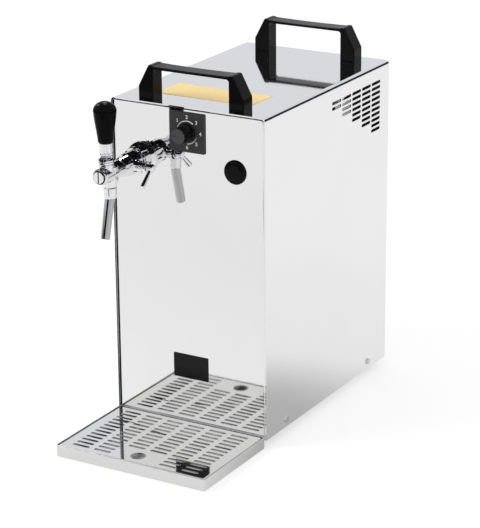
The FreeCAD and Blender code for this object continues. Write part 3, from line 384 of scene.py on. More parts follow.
def strip(rows, closed=True):
    """Quads between rows of points that have the same count."""
    points = [point for row in rows for point in row]
    width = len(rows[0])
    faces = []
    for index in range(len(rows) - 1):
        for step in range(width if closed else width - 1):
            follow = (step + 1) % width
            a, b = index * width, (index + 1) * width
            faces.append((a + step, a + follow, b + follow, b + step))
    return mesh_from(points, faces)


def capped(mesh, width, last):
    """Flat faces over the first row and the given last row of a closed strip."""
    work = bmesh.new()
    work.from_mesh(mesh)
    work.verts.ensure_lookup_table()
    for row in (0, last):
        work.faces.new([work.verts[row * width + index] for index in range(width)])
    work.to_mesh(mesh)
    work.free()
    return mesh


def seen_from_front(origin):
    """A frame whose X is to the right and whose Y is up."""
    return frame_of(origin, (1, 0, 0), (0, 0, 1))


# Camera, at the viewing angle of the photograph

CAMERA_AIM = Vector((67, FRONT, 218))
CAMERA_AT = Vector((1239.2, FRONT - 2008.4, 1024.7))
CAMERA_ROLL = -0.0078
CAMERA_LENS = 150.26


def make_camera():
    data = bpy.data.cameras.new("camera")
    data.lens = CAMERA_LENS
    data.sensor_width = 36
    data.clip_end = 50
    camera = bpy.data.objects.new("camera", data)
    bpy.context.scene.collection.objects.link(camera)
    ahead = (CAMERA_AIM - CAMERA_AT).normalized()
    right = ahead.cross(Vector((0, 0, 1))).normalized()
    up = right.cross(ahead)
    cosine, sine = math.cos(CAMERA_ROLL), math.sin(CAMERA_ROLL)
    tilted_right = right * cosine + up * sine
    tilted_up = up * cosine - right * sine
    turn = Matrix((tilted_right, tilted_up, -ahead)).transposed().to_4x4()
    turn.translation = CAMERA_AT * MM
    camera.matrix_world = turn
    bpy.context.scene.camera = camera


make_camera()


# Cabinet sheets

TAP_X = middle("wall_flange", X)
TAP_Z = middle("wall_flange", Z)
PLUG_X = middle("hole_plug", X)
DIAL_X = middle("dial_plate", X)
DIAL_Z = middle("dial_plate", Z)


PANEL_BEND = 1.8
PANEL_CORNER = PANEL_BEND + 2.4
PANEL_FOOT_CORNER = PANEL_BEND + 0.6
PANEL_RETURN = 14
BEND_STEPS = 10
TAP_HOLE, SPARE_HOLE, DIAL_HOLE = 9, 12.5, 5


def panel_outline(inset):
    """Outline of the front panel at an inset from its edge."""
    w = HALF - PLATE - inset
    low, high = FOOT + inset, TOP - PLATE - inset
    top_r = max(PANEL_CORNER - inset, 0.6)
    foot_r = max(PANEL_FOOT_CORNER - inset, 0.4)
    return rounded([(-w, low, foot_r), (w, low, foot_r), (w, high, top_r), (-w, high, top_r)], 8)


def make_front_panel():
    """A pressed panel with rounded bends and returns that tuck inside the cover."""
    rows = []
    for index in range(BEND_STEPS + 1):
        angle = math.pi / 2 * index / BEND_STEPS
        inset = PANEL_BEND * (1 - math.sin(angle))
        depth = PANEL_BEND * (1 - math.cos(angle))
        rows.append([(u, FRONT + depth, v) for u, v in panel_outline(inset)])
    rows.append([(u, FRONT + PANEL_RETURN, v) for u, v in panel_outline(0)])
    holes = [ring((TAP_X, TAP_Z), TAP_HOLE), ring((PLUG_X, TAP_Z), SPARE_HOLE),
             ring((DIAL_X, DIAL_Z), DIAL_HOLE)]
    flat = flat_sheet(panel_outline(PANEL_BEND), holes, place=seen_from_front((0, FRONT, 0)))
    mesh = merged([flat, strip(rows)])
    new_piece("front_panel", mesh, SHEET, "cabinet", ["front_panel"],
              weld=0.02, solid=PLATE, angle=50)


make_front_panel()


COVER_BEND = 5
COVER_BEND_STEPS = 12
VENT_LONG, VENT_HIGH = 22.5, 3.8
VENT_PITCH_DEEP, VENT_PITCH_HIGH = 25, 6.33
# Middle of the vent at the rear top, from the front and from the top
VENT_BACK, VENT_DROP = 266.7, 20.2
VENT_COLUMNS, VENT_ROWS = 5, 10


def make_cover():
    """Sides with round-ended vents, a flat top and two long bends, folded from one sheet."""
    bend = COVER_BEND
    deep = REAR - FRONT
    meshes = []
    for side in (-1, 1):
        holes = []
        for column in range(VENT_COLUMNS):
            back = VENT_BACK - VENT_PITCH_DEEP * column
            for row in range(VENT_ROWS - 2 * column):
                height = TOP - VENT_DROP - VENT_PITCH_HIGH * row
                holes.append(stadium((back, height), VENT_LONG, VENT_HIGH))
        outline = [(0, FOOT), (deep, FOOT), (deep, TOP - bend), (0, TOP - bend)]
        place = frame_of((side * HALF, FRONT, 0), (0, 1, 0), (0, 0, 1))
        meshes.append(flat_sheet(outline, holes, place=place))
        rows = []
        for index in range(COVER_BEND_STEPS + 1):
            angle = math.pi / 2 * index / COVER_BEND_STEPS
            u = side * (HALF - bend + bend * math.cos(angle))
            v = TOP - bend + bend * math.sin(angle)
            rows.append([(u, FRONT, v), (u, REAR, v)])
        meshes.append(strip(rows, closed=False))
    w = HALF - bend
    corners = [(-w, FRONT, TOP), (w, FRONT, TOP), (w, REAR, TOP), (-w, REAR, TOP)]
    meshes.append(mesh_from(corners, [(0, 1, 2, 3)]))
    mesh = merged(meshes)
    new_piece("cover", mesh, SHEET, "cabinet", ["cover"], weld=0.02, solid=PLATE, angle=50)


make_cover()


# Drip tray

def make_tray():
    """A shallow pan with rounded corners, a rounded foot and a rolled rim."""
    low, high = span("drip_tray")
    w, near, far, top = high.x, low.y, high.y, high.z
    wall = PLATE

    def outline(inset, r):
        return rounded([(-w + inset, near + inset, r), (w - inset, near + inset, r),
                        (w - inset, far - inset, r), (-w + inset, far - inset, r)], 5)

    levels = [(2.2, 0, 1.4), (0.9, 0.25, 1.9), (0.25, 0.9, 2.3), (0, 2.2, 2.5), (0, top - 0.55, 2.5),
              (0.18, top - 0.14, 2.4), (0.6, top, 2.1), (1.02, top - 0.14, 1.7), (wall, top - 0.55, 1.6),
              (wall, 2.2, 1.6), (2.4, 1.5, 1.2)]
    rows = [[(u, v, z) for u, v in outline(inset, r)] for inset, z, r in levels]
    mesh = capped(strip(rows), len(rows[0]), len(rows) - 1)
    new_piece("drip_tray", mesh, TRAY_STEEL, "drip_tray", ["drip_tray"], angle=50)


GRID_BEND, GRID_CORNER, GRID_THICK = 1.3, 2.2, 1.0
GRID_BEND_STEPS = 5
GRID_SLOT_LONG, GRID_SLOT_WIDE = 22.3, 4.5
GRID_COLUMN_PITCH, GRID_ROW_PITCH, GRID_FIRST_ROW = 28.8, 9.04, 13
GRID_COLUMNS, GRID_ROWS, GRID_MIDDLE_ROWS = 6, 13, 10
FINGER_HOLE_RADIUS, FINGER_HOLE_AHEAD = 9, 114.5


def make_grid():
    """Perforated plate with rolled edges and rims that stand in the tray."""
    low, high = span("drip_grid")
    bend, corner, top = GRID_BEND, GRID_CORNER, high.z
    holes = []
    for column in range(GRID_COLUMNS):
        at = GRID_COLUMN_PITCH * (column - (GRID_COLUMNS - 1) / 2)
        for row in range(GRID_MIDDLE_ROWS if column in (2, 3) else GRID_ROWS):
            place = (at, FRONT - GRID_FIRST_ROW - GRID_ROW_PITCH * row)
            holes.append(stadium(place, GRID_SLOT_LONG, GRID_SLOT_WIDE))
    holes.append(ring((0, FRONT - FINGER_HOLE_AHEAD), FINGER_HOLE_RADIUS))

    def outline(inset, r):
        return rounded([(low.x + inset, low.y + inset, r), (high.x - inset, low.y + inset, r),
                        (high.x - inset, high.y - inset, r), (low.x + inset, high.y - inset, r)], 5)

    rows = []
    for index in range(GRID_BEND_STEPS + 1):
        angle = math.pi / 2 * index / GRID_BEND_STEPS
        inset, drop = bend * (1 - math.sin(angle)), bend * (1 - math.cos(angle))
        rows.append([(u, v, top - drop) for u, v in outline(inset, max(corner - inset, 0.5))])
    rows.append([(u, v, low.z) for u, v in outline(0, corner)])
    flat = flat_sheet(outline(bend, max(corner - bend, 0.5)), holes, place=Matrix.Translation((0, 0, top)))
    mesh = merged([flat, strip(rows)])
    new_piece("drip_grid", mesh, GRID_STEEL, "drip_grid", ["drip_grid"],
              weld=0.02, solid=GRID_THICK, angle=50)


make_tray()
make_grid()


# Handles

WINDOW_HALF, WINDOW_CORNER = 49, 3
BAR_THICK, BAR_SUNK = 5, 0.9
# The shoulder starts this far up the leg, and its ridge lies this far in from the leg's side
SHOULDER_UP, RIDGE_IN = 15, 13.6
# Share of the bar's reach from the middle, and its sag there
BAR_SAG = ((1, 0), (0.75, 0.35), (0.4, 0.6), (0, 0.7), (-0.4, 0.6), (-0.75, 0.35), (-1, 0))


def make_handle(name):
    """A moulded bracket with bevelled shoulders, ridges above its legs and a slightly sunk bar."""
    low, high = span(name)
    w = high.x
    tall = high.z - low.z
    deep = high.y - low.y
    under = tall - BAR_THICK
    place = seen_from_front((0, (low.y + high.y) / 2, low.z))
    window = [(WINDOW_HALF, 0), (WINDOW_HALF, under, WINDOW_CORNER),
              (-WINDOW_HALF, under, WINDOW_CORNER), (-WINDOW_HALF, 0)]
    arch = rounded(window, 6, closed=False)[::-1]
    ridge = w - RIDGE_IN
    bar = [(reach * (ridge - 6), tall - BAR_SUNK - sag) for reach, sag in BAR_SAG]
    outer = rounded([(w, 0), (w, SHOULDER_UP, 1.5), (ridge + 0.3, tall, 2.2), (ridge - 4.2, tall, 1.2), *bar,
                     (4.2 - ridge, tall, 1.2), (-ridge - 0.3, tall, 2.2), (-w, SHOULDER_UP, 1.5), (-w, 0)],
                    6, closed=False)
    mesh = flat_sheet(arch + outer, thick=deep, edge=1.6, place=place, edge_steps=4)
    new_piece(name, mesh, BLACK, "cabinet", [name], angle=40, weld=0.005)


for handle in ("front_handle", "rear_handle"):
    make_handle(handle)


# Plates on the front, the plug and the label

def make_plate(name, material, corner, edge):
    low, high = span(name)
    outline = rounded([(low.x, low.z, corner), (high.x, low.z, corner),
                       (high.x, high.z, corner), (low.x, high.z, corner)], 6)
    thick = high.y - low.y
    place = seen_from_front((0, (low.y + high.y) / 2, 0))
    mesh = flat_sheet(outline, thick=thick, edge=edge, place=place)
    new_piece(name, mesh, material, "cabinet", [name], weld=0.005)


make_plate("dial_plate", DIAL_BLACK, 1.8, 0.3)
make_plate("badge_plate", BADGE_BLACK, 0.8, 0.2)


def make_plug():
    """Domed cap over the spare tap hole."""
    mesh = turned((PLUG_X, FRONT, TAP_Z), "-y", [
        (0, 12.6), (0, 14, 0.2), (1.1, 14, 0.6), (2.0, 12.4, 1.5), (2.8, 8, 6), (2.8, 0)], 64)
    new_piece("hole_plug", mesh, BLACK, "cabinet", ["hole_plug"])


make_plug()


# Tap, set out from its axis at the face of the front panel

TAP = Vector((TAP_X, FRONT, TAP_Z))
FERRULE_UP = 12
SPOUT_Y = middle("spout_collar", Y)
SIDE_Y = middle("side_nut", Y)
PIVOT = Vector((TAP_X, middle("lever_ferrule", Y), span("lever_ferrule")[0].z - FERRULE_UP))
# Distances of the head's face, the lever's neck, the spout and the side boss ahead of the panel
HEAD_END = 86
NECK_AHEAD = 74
SPOUT_AHEAD = 68
SIDE_AHEAD = 31
SPOUT_SOCKET = 16


def ahead(distance, side=0, up=0):
    """A point in front of the panel, measured along the tap's axis."""
    return Vector((TAP_X + side, FRONT - distance, TAP_Z + up))


def joined(meshes, voxel, rounds):
    """Overlapping solids made one casting, with its inner corners filled and polished smooth."""
    holder = bpy.data.objects.new("casting", merged(meshes))
    bpy.context.scene.collection.objects.link(holder)
    finish_mesh(holder.data)
    remesh = holder.modifiers.new("skin", "REMESH")
    remesh.mode = "VOXEL"
    remesh.voxel_size = voxel * MM
    smooth = holder.modifiers.new("polish", "SMOOTH")
    smooth.factor = 0.5
    smooth.iterations = rounds
    apply_modifiers(holder)
    mesh = holder.data
    bpy.data.objects.remove(holder)
    return mesh


def carved(mesh, tools):
    """A mesh with other meshes cut out of it."""
    holder = bpy.data.objects.new("blank", mesh)
    bpy.context.scene.collection.objects.link(holder)
    finish_mesh(mesh)
    helpers = []
    for tool in tools:
        finish_mesh(tool)
        helper = bpy.data.objects.new("tool", tool)
        bpy.context.scene.collection.objects.link(helper)
        helpers.append(helper)
        cut = holder.modifiers.new("cut", "BOOLEAN")
        cut.operation = "DIFFERENCE"
        cut.solver = "EXACT"
        cut.object = helper
    apply_modifiers(holder)
    result = holder.data
    bpy.data.objects.remove(holder)
    for helper in helpers:
        bpy.data.objects.remove(helper)
    return result


def block(low, high):
    """A box between two corners, for cutting."""
    (x0, y0, z0), (x1, y1, z1) = low, high
    points = [(x, y, z) for z in (z0, z1) for x, y in ((x0, y0), (x1, y0), (x1, y1), (x0, y1))]
    faces = [(0, 3, 2, 1), (4, 5, 6, 7), (0, 1, 5, 4), (1, 2, 6, 5), (2, 3, 7, 6), (3, 0, 4, 7)]
    return mesh_from(points, faces)


def make_tap_body():
    """One casting: body, lever neck, spout socket with its web, and side boss."""
    shell = turned(TAP, "-y", [
        (17.4, 0), (17.4, 12.2), (18.6, 13.3, 1), (35, 13.3, 9), (50, 9.7, 14),
        (HEAD_END - 0.6, 9.2, 0.6), (HEAD_END, 8.6), (HEAD_END, 0)], 96)
    upper = turned(ahead(NECK_AHEAD), "+z", [
        (-6, 0), (-6, 8.6), (8, 8.6, 3), (12.2, 8.4, 0.6), (13, 7.8), (13, 0)], 64)
    drop = turned(ahead(SPOUT_AHEAD), "-z", [
        (-8, 0), (-8, 9.4), (8, 9.2, 3), (SPOUT_SOCKET - 1, 7.9, 0.6), (SPOUT_SOCKET, 7.6),
        (SPOUT_SOCKET, 0)], 64)
    slanted = (Vector((1, 0, 0)), Vector((0, -1, 1)).normalized(), Vector((0, -1, -1)).normalized())
    web = turned(ahead(60, 0, -4), slanted, [(-14, 0), (-14, 4), (-4, 7.5, 3), (10, 7.6, 2), (12, 0)], 48)
    boss = turned(ahead(SIDE_AHEAD), "+x", [
        (0, 0), (0, 8), (13, 7.6, 2), (15, 6.5, 1.5), (21.4, 6.5, 0.5), (22, 6), (22, 0)], 64)
    mesh = joined([shell, upper, drop, web, boss], voxel=0.5, rounds=8)
    new_piece("tap_body", mesh, CHROME, "cabinet", ["tap_body"], angle=70)


SHANK_HOLE = 8.1
NUT_TOOTH_RADIUS, NUT_NOTCH_RADIUS, NUT_TEETH = 16, 14.6, 8


def make_tap_mounting():
    """Flange against the panel and the notched union nut."""
    flange = turned(TAP, "-y", [
        (0, SHANK_HOLE), (0, 19, 0.4), (2.6, 19, 1.2), (4.2, 17.4, 1.5), (6, 15.5, 1),
        (6, SHANK_HOLE)], 96, closed=True)
    new_piece("wall_flange", flange, CHROME, "cabinet", ["wall_flange"])
    notched = []
    for index in range(NUT_TEETH):
        tooth = TAU * (index + 0.5) / NUT_TEETH
        notched += arc_points((0, 0), NUT_TOOTH_RADIUS, tooth - 0.26, tooth + 0.26, 8)
        notched += arc_points((0, 0), NUT_NOTCH_RADIUS, tooth + 0.33, tooth + TAU / NUT_TEETH - 0.33, 3)
    place = seen_from_front(ahead(11.5))
    nut = flat_sheet(notched, [ring((0, 0), SHANK_HOLE, 48)], thick=11, edge=0.7, place=place, edge_steps=3)
    new_piece("union_nut", nut, CHROME, "cabinet", ["union_nut"], weld=0.005)


BALL_SOCKET = 5.7
STEM_WAY = 3.1


def make_head_cap():
    """Screwed cap with a dark ring in its groove and a dark floor in its screwdriver slot, both painted
    shade.
    """
    face = turned(ahead(HEAD_END), "-y", [
        (-0.5, 0), (-0.5, 8.6), (0, 9.2, 0.2), (2.2, 9.2, 0.6), (2.9, 8.4, 0.4), (2.9, 8.0, 0.2), (1.4, 7.9),
        (1.4, 7.0), (4.2, 6.8, 0.3), (4.6, 6.4, 0.3), (4.6, 0)], 72)
    slot = block(ahead(95, -0.75, -9), ahead(88.6, 0.75, 9))
    new_piece("head_cap", carved(face, [slot]), CHROME, "cabinet", ["head_cap"])
    # Painted shade: a dark ring that fills the groove where its shade falls.
    groove_shade = turned(ahead(HEAD_END), "-y", [
        (1.5, 7.0), (1.5, 8.0), (2.7, 8.0, 0.4), (2.7, 7.0, 0.3)], 64, closed=True)
    new_piece("cap_groove_shade", groove_shade, RUBBER, "cabinet")
    # Painted shade: a dark floor at the bottom of the screwdriver slot.
    place = frame_of(ahead(89.3), (0, 0, 1), (-1, 0, 0))
    slot_shade = flat_sheet(stadium((0, 0), 12.4, 1.3), thick=1.6, place=place)
    new_piece("cap_slot_shade", slot_shade, RUBBER, "cabinet")


def make_lever_nut():
    """Grooved nut over the lever's ball, open to the front for the lever and its collar."""
    bonnet = turned(PIVOT, "+z", [
        (0, 0), (0, 8.8), (0.6, 9, 0.3), (2.0, 9, 0.3), (2.5, 8.4, 0.3), (3.0, 9, 0.3), (4.4, 9, 0.8),
        (5.8, 6.6, 1.5), (5.8, 0)], 72)
    way = block(PIVOT + Vector((-STEM_WAY, -12, -1)), PIVOT + Vector((STEM_WAY, STEM_WAY, 8)))
    hollow = arc_points((0, 0), BALL_SOCKET, -math.pi / 2, math.pi / 2, 16)
    socket = turned(PIVOT, "+z", [(u, v) for v, u in hollow], 48)
    tools = [way, socket]
    for degrees in (10, 20, 30):
        lean = math.radians(degrees)
        stem_up = Vector((0, -math.sin(lean), math.cos(lean)))
        stem_side = Vector((0, math.cos(lean), math.sin(lean)))
        tools.append(turned(PIVOT, (Vector((1, 0, 0)), stem_side, stem_up),
                            [(5.8, 0), (5.8, 3.3), (6.2, 5.8), (7.8, 7.2), (14, 7.2), (14, 0)], 48))
    new_piece("lever_nut", carved(bonnet, tools), CHROME, "cabinet", ["lever_nut"])


def make_side_nut():
    """Hexagon nut round the side lever's shaft."""
    place = frame_of((TAP_X + 24, SIDE_Y, TAP_Z), (0, 1, 0), (0, 0, 1))
    hexagon = rounded([(*point, 0.5) for point in ring((0, 0), 6.9, 6)], 2)
    nut = flat_sheet(hexagon, [ring((0, 0), 3.05, 32)], thick=4, edge=0.5, place=place)
    new_piece("side_nut", nut, CHROME, "cabinet", ["side_nut"], weld=0.005)


def knurled(origin, low, high, radius, teeth, depth):
    """A short ring with rounded teeth round its rim."""
    count = teeth * 8
    rows = []
    for z, inset in ((low, 0.5), (low + 0.5, 0), (high - 0.5, 0), (high, 0.5)):
        row = []
        for index in range(count):
            angle = TAU * index / count
            r = radius - inset - depth * (0.5 - 0.5 * math.cos(angle * teeth)) ** 2
            row.append(Vector(origin) + Vector((r * math.cos(angle), r * math.sin(angle), z)))
        rows.append(row)
    return capped(strip(rows), len(rows[0]), len(rows) - 1)


def make_lever():
    """Stem with its ball and beaded collar, chrome ferrule and a grip that widens to a dome."""
    stem = turned(PIVOT, "+z", [
        (-11, 0), (-11, 2), (-4.6, 2), (-4.4, 2.6, 1), (0, 5.2, 3), (4.4, 2.9, 1), (6.2, 2.75),
        (6.6, 5.4, 0.4), (8.2, 6.8, 0.5), (8.9, 6.8, 0.3), (9.1, 6.0), (9.4, 6.0), (9.4, 0)], 64)
    beads = knurled(PIVOT, 9.2, FERRULE_UP, radius=7.2, teeth=14, depth=1.3)
    core = turned(PIVOT, "+z", [(11.9, 0), (11.9, 2.7), (32, 2.7), (32, 0)], 32)
    new_piece("lever_stem", merged([stem, beads, core]), CHROME, "tap_lever", ["lever_stem"])
    sleeve = turned(PIVOT, "+z", [
        (FERRULE_UP, 2.8), (FERRULE_UP, 7.3, 0.4), (12.9, 7.75, 0.3), (22.9, 7.75, 0.3), (23.8, 7.3, 0.3),
        (23.8, 2.8)], 72, closed=True)
    new_piece("lever_ferrule", sleeve, CHROME, "tap_lever", ["lever_ferrule"])
    side = [(23.8, 2.8), (23.8, 8.1, 0.4), (24.5, 8.55, 0.4), (30, 9.15), (36, 10.0), (42, 10.95),
            (48, 11.85), (53, 12.5), (57, 12.88)]
    dome = arc_points((0, 0), 1, 0, math.pi / 2, 14)
    side += [(59.2 + 10.8 * v, 13 * u) for u, v in dome[:-1]] + [(70, 0)]
    new_piece("lever_grip", turned(PIVOT, "+z", side, 80), GRIP_BLACK, "tap_lever",
              ["lever_grip"], angle=55)


SIDE_LEVER_DOWN = 42
SPOUT_LEAN = 14


def make_side_lever():
    """Round arm cast onto its hub, pointing forward and down."""
    centre = Vector((TAP_X + 31, SIDE_Y, TAP_Z))
    hub = turned(centre, "+x", [
        (-4.4, 0), (-4.4, 4.4), (-3.8, 4.9, 0.3), (1.6, 4.9, 1), (3.2, 3.9, 1.2), (4.0, 2.2, 1),
        (4.0, 0)], 64)
    down = math.radians(SIDE_LEVER_DOWN)
    along = Vector((0, -math.cos(down), -math.sin(down)))
    side = Vector((1, 0, 0))
    up = along.cross(side)
    arm = turned(centre, (side, up, along), [
        (0, 0), (0, 2.3), (5, 2.3), (9, 2.45), (24, 3.05, 2), (25.8, 3.0, 0.4), (26.4, 2.5, 0.3),
        (26.4, 0)], 40)
    mesh = joined([hub, arm], voxel=0.35, rounds=4)
    new_piece("side_lever", mesh, CHROME, "compensator_lever", ["side_lever"], angle=70)


def make_spout():
    """Collar, and a slim tube that leans forward."""
    collar = turned(ahead(SPOUT_AHEAD, 0, -SPOUT_SOCKET), "-z", [
        (0, 6), (0, 7.5), (0.7, 7.9, 0.4), (9, 7.5, 2), (12.4, 7.1, 0.3), (13, 6.7),
        (13, 6)], 72, closed=True)
    new_piece("spout_collar", collar, CHROME, "cabinet", ["spout_collar"])
    lean = math.radians(SPOUT_LEAN)
    along = Vector((0, -math.sin(lean), -math.cos(lean)))
    side = Vector((1, 0, 0))
    start = Vector((TAP_X, SPOUT_Y + 0.8, TAP_Z - 21))
    pipe = turned(start, (side, along.cross(side), along), [
        (-2, 4.3), (-2, 5.6), (20, 5.6, 6), (53.6, 5.25, 0.3), (54, 5.0), (54, 4.3)], 72, closed=True)
    stub = turned(ahead(SPOUT_AHEAD, 0, -12), "-z", [
        (0, 4.3), (0, 5.58), (10, 5.58), (10, 4.3)], 48, closed=True)
    new_piece("spout_tube", merged([pipe, stub]), SPOUT_STEEL, "cabinet", ["spout_tube"])


make_tap_body()
make_tap_mounting()
make_head_cap()
make_lever_nut()
make_side_nut()
make_lever()
make_side_lever()
make_spout()


# Thermostat knob and its dial

KNOB_FLUTES, FLUTE_STEPS = 24, 8
POINTER_HALF = 0.28


def make_knob():
    """Black fluted flank with a satin face and a pointer line."""
    low, high = span("thermostat_knob")
    near, far, r = low.y, high.y, high.z - DIAL_Z
    count = KNOB_FLUTES * FLUTE_STEPS
    rows = []
    for y, radius, depth in ((far, r - 0.2, 0), (far - 0.3, r, 0), (far - 1.7, r, 0), (far - 2.0, r - 0.3, 0),
                             (far - 2.1, r - 1.1, 0.2), (far - 2.8, r - 1.1, 0.7), (near + 1.5, r - 1.6, 0.7),
                             (near + 0.8, r - 1.7, 0.3), (near + 0.4, r - 1.9, 0), (near + 0.35, r - 2.4, 0)):
        row = []
        for index in range(count):
            angle = TAU * index / count
            radial = radius - depth * (0.5 - 0.5 * math.cos(angle * KNOB_FLUTES))
            row.append((DIAL_X + radial * math.cos(angle), y, DIAL_Z + radial * math.sin(angle)))
        rows.append(row)
    flank = capped(strip(rows), len(rows[0]), len(rows) - 1)
    new_piece("knob_flank", flank, KNOB_BLACK, "thermostat_knob", ["thermostat_knob"], angle=50)
    face = turned((DIAL_X, near + 0.45, DIAL_Z), "-y", [
        (0, 0), (0, r - 2.1), (0.35, r - 2.2, 0.3), (0.42, r - 2.8), (0.42, 0)], 72)
    new_piece("knob_face", face, KNOB_FACE, "thermostat_knob")
    line = block((DIAL_X - r + 1.6, near - 0.06, DIAL_Z - POINTER_HALF),
                 (DIAL_X - 2.2, near + 0.05, DIAL_Z + POINTER_HALF))
    new_piece("knob_pointer", line, KNOB_BLACK, "thermostat_knob")


PRINT_THICK = 0.06
NUMBER_SIZE, NUMBER_RADIUS, NUMBER_WEIGHT = 6, 17.4, 0.16
FIRST_NUMBER_AT, NUMBER_STEP = 135, 45
SCALE_RADIUS, SCALE_STEPS = 13.1, 30
SCALE_THIN, SCALE_SWELL = 0.25, 0.45


def make_dial_print():
    """Numbers one to seven and two swelling scales, printed round the knob."""
    front = span("dial_plate")[0].y - PRINT_THICK / 2
    for number in range(7):
        angle = math.radians(FIRST_NUMBER_AT - NUMBER_STEP * number)
        text = bpy.data.curves.new("number", "FONT")
        text.body = str(number + 1)
        text.size = NUMBER_SIZE * MM
        text.align_x = "CENTER"
        text.align_y = "CENTER"
        text.extrude = PRINT_THICK / 2 * MM
        text.offset = NUMBER_WEIGHT * MM
        holder = bpy.data.objects.new("number", text)
        bpy.context.scene.collection.objects.link(holder)
        graph = bpy.context.evaluated_depsgraph_get()
        mesh = bpy.data.meshes.new_from_object(holder.evaluated_get(graph))
        bpy.data.objects.remove(holder)
        across, up = NUMBER_RADIUS * math.cos(angle), NUMBER_RADIUS * math.sin(angle)
        at = Vector((DIAL_X + across, front, DIAL_Z + up))
        place = seen_from_front(at)
        place.translation = at * MM
        mesh.transform(place)
        new_piece(f"dial_number_{number + 1}", mesh, PRINT_WHITE, "cabinet")
    place = seen_from_front((DIAL_X, front, DIAL_Z))
    for name, start, end in (("cool", 158, 52), ("cold", -22, -88)):
        outer, inner = [], []
        for index in range(SCALE_STEPS + 1):
            share = index / SCALE_STEPS
            angle = math.radians(start + (end - start) * share)
            half = SCALE_THIN + SCALE_SWELL * share
            outer.append(((SCALE_RADIUS + half) * math.cos(angle), (SCALE_RADIUS + half) * math.sin(angle)))
            inner.append(((SCALE_RADIUS - half) * math.cos(angle), (SCALE_RADIUS - half) * math.sin(angle)))
        scale = flat_sheet(outer + inner[::-1], thick=PRINT_THICK, place=place)
        new_piece(f"dial_scale_{name}", scale, PRINT_WHITE, "cabinet")


make_knob()
make_dial_print()


# Finishes of the CAD nodes that show as they are

def finish_node(material, *names):
    """Give CAD nodes their only material."""
    for name in names:
        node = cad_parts[name]
        node.data.materials.clear()
        node.data.materials.append(material)


finish_node(ZINC, "rear_panel", "base_pan", "block_stand")
finish_node(SCREW_STEEL, "cover_screws", "handle_screws")
finish_node(CHROME, "tap_shank", "shank_nut", "side_shaft", "valve_piston")
finish_node(LABEL, "top_label")
finish_node(RUBBER, "feet", "valve_seal")
finish_node(INNER_BLACK, "thermostat_body", "air_pump", "cable_gland", "switch_frame", "compensator_cone",
            "fan_wheel", "fan_shroud")
finish_node(ROCKER, "switch_rocker")
finish_node(DARK_PAINT, "fan_motor", "compressor", "thermostat_shaft")
finish_node(ALUMINIUM, "condenser")
finish_node(FOAM, "cooling_block")
finish_node(HOSE, "beer_line_out", "beer_line_in", "air_line")
finish_node(FITTING, "beer_inlet", "air_outlet")


# Studio: white floor, pale room, cards for the reflections and one soft lamp

# Share of white that the floor adds: in mirrors in front of and behind the object, and to the camera
MIRROR_GLOW = (0.38, 0.52)
CAMERA_GLOW = 0.62
# Where along Y the first share changes to the second, in metres
MIRROR_REACH = (-0.8, 0.1)
# A painted shadow in the floor's glow, seen only in mirrors, that the polished side shows: its middle, its
# share of light and its reach, in metres
SHADE_AT = (0.17, -0.03, 0)
SHADE_LIGHT = 0.3
SHADE_REACH = (0.05, 0.24)
FLOOR_HALF = 4.0
FLOOR_WHITE = 0.5
# The room in mirrors, and its light on matt surfaces
ROOM = (0.75, 0.755, 0.79)
MATT_LIGHT = (0.78, 0.78, 0.78)
WHITE = (1, 1, 1)


def calculated(nodes, links, operation, first, second):
    """The result of a math operation on two numbers or sockets."""
    node = nodes.new("ShaderNodeMath")
    node.operation = operation
    for socket, value in zip(node.inputs, (first, second)):
        if isinstance(value, (int, float)):
            socket.default_value = value
        else:
            links.new(value, socket)
    return node.outputs["Value"]


def make_floor():
    """White floor that keeps its shadow: part of its white is its own, for the camera and mirrors, and its
    glow in mirrors holds a painted shadow.
    """
    corners = [(u * FLOOR_HALF, v * FLOOR_HALF, 0) for u, v in ((-1, -1), (1, -1), (1, 1), (-1, 1))]
    mesh = bpy.data.meshes.new("floor")
    mesh.from_pydata(corners, [], [(0, 1, 2, 3)])
    floor = bpy.data.objects.new("floor", mesh)
    bpy.context.scene.collection.objects.link(floor)
    material, nodes, links, shader = new_material("studio_floor")
    shader.inputs["Base Color"].default_value = (FLOOR_WHITE, FLOOR_WHITE, FLOOR_WHITE, 1)
    shader.inputs["Roughness"].default_value = 1.0
    shader.inputs["Specular IOR Level"].default_value = 0.0
    shader.inputs["Emission Color"].default_value = (1, 1, 1, 1)
    rays = nodes.new("ShaderNodeLightPath")
    place = nodes.new("ShaderNodeTexCoord")
    apart = nodes.new("ShaderNodeSeparateXYZ")
    links.new(place.outputs["Object"], apart.inputs["Vector"])
    front = between(nodes, links, apart.outputs["Y"], *MIRROR_GLOW, *MIRROR_REACH, "SMOOTHSTEP")
    # Painted shadow: the glow that mirrors see is dimmed near the object's right side.
    from_shade = nodes.new("ShaderNodeVectorMath")
    from_shade.operation = "DISTANCE"
    from_shade.inputs[1].default_value = SHADE_AT
    links.new(place.outputs["Object"], from_shade.inputs[0])
    shade = between(nodes, links, from_shade.outputs["Value"], SHADE_LIGHT, 1, *SHADE_REACH, "SMOOTHSTEP")
    shaded = calculated(nodes, links, "MULTIPLY", front, shade)
    mirrored = calculated(nodes, links, "MULTIPLY", rays.outputs["Is Glossy Ray"], shaded)
    direct = calculated(nodes, links, "MULTIPLY", rays.outputs["Is Camera Ray"], CAMERA_GLOW)
    glow = calculated(nodes, links, "MAXIMUM", mirrored, direct)
    links.new(glow, shader.inputs["Emission Strength"])
    mesh.materials.append(material)


def make_world():
    """White to the camera, plain light on matt surfaces, and a pale room in mirrors."""
    world = bpy.data.worlds.new("studio")
    bpy.context.scene.world = world
    world.use_nodes = True
    nodes, links = world.node_tree.nodes, world.node_tree.links
    background = nodes["Background"]
    rays = nodes.new("ShaderNodeLightPath")
    unseen = mix_colours(nodes, links, rays.outputs["Is Diffuse Ray"], ROOM, MATT_LIGHT)
    seen = mix_colours(nodes, links, rays.outputs["Is Camera Ray"], ROOM, WHITE)
    links.new(unseen, seen.node.inputs["A"])
    links.new(seen, background.inputs["Color"])


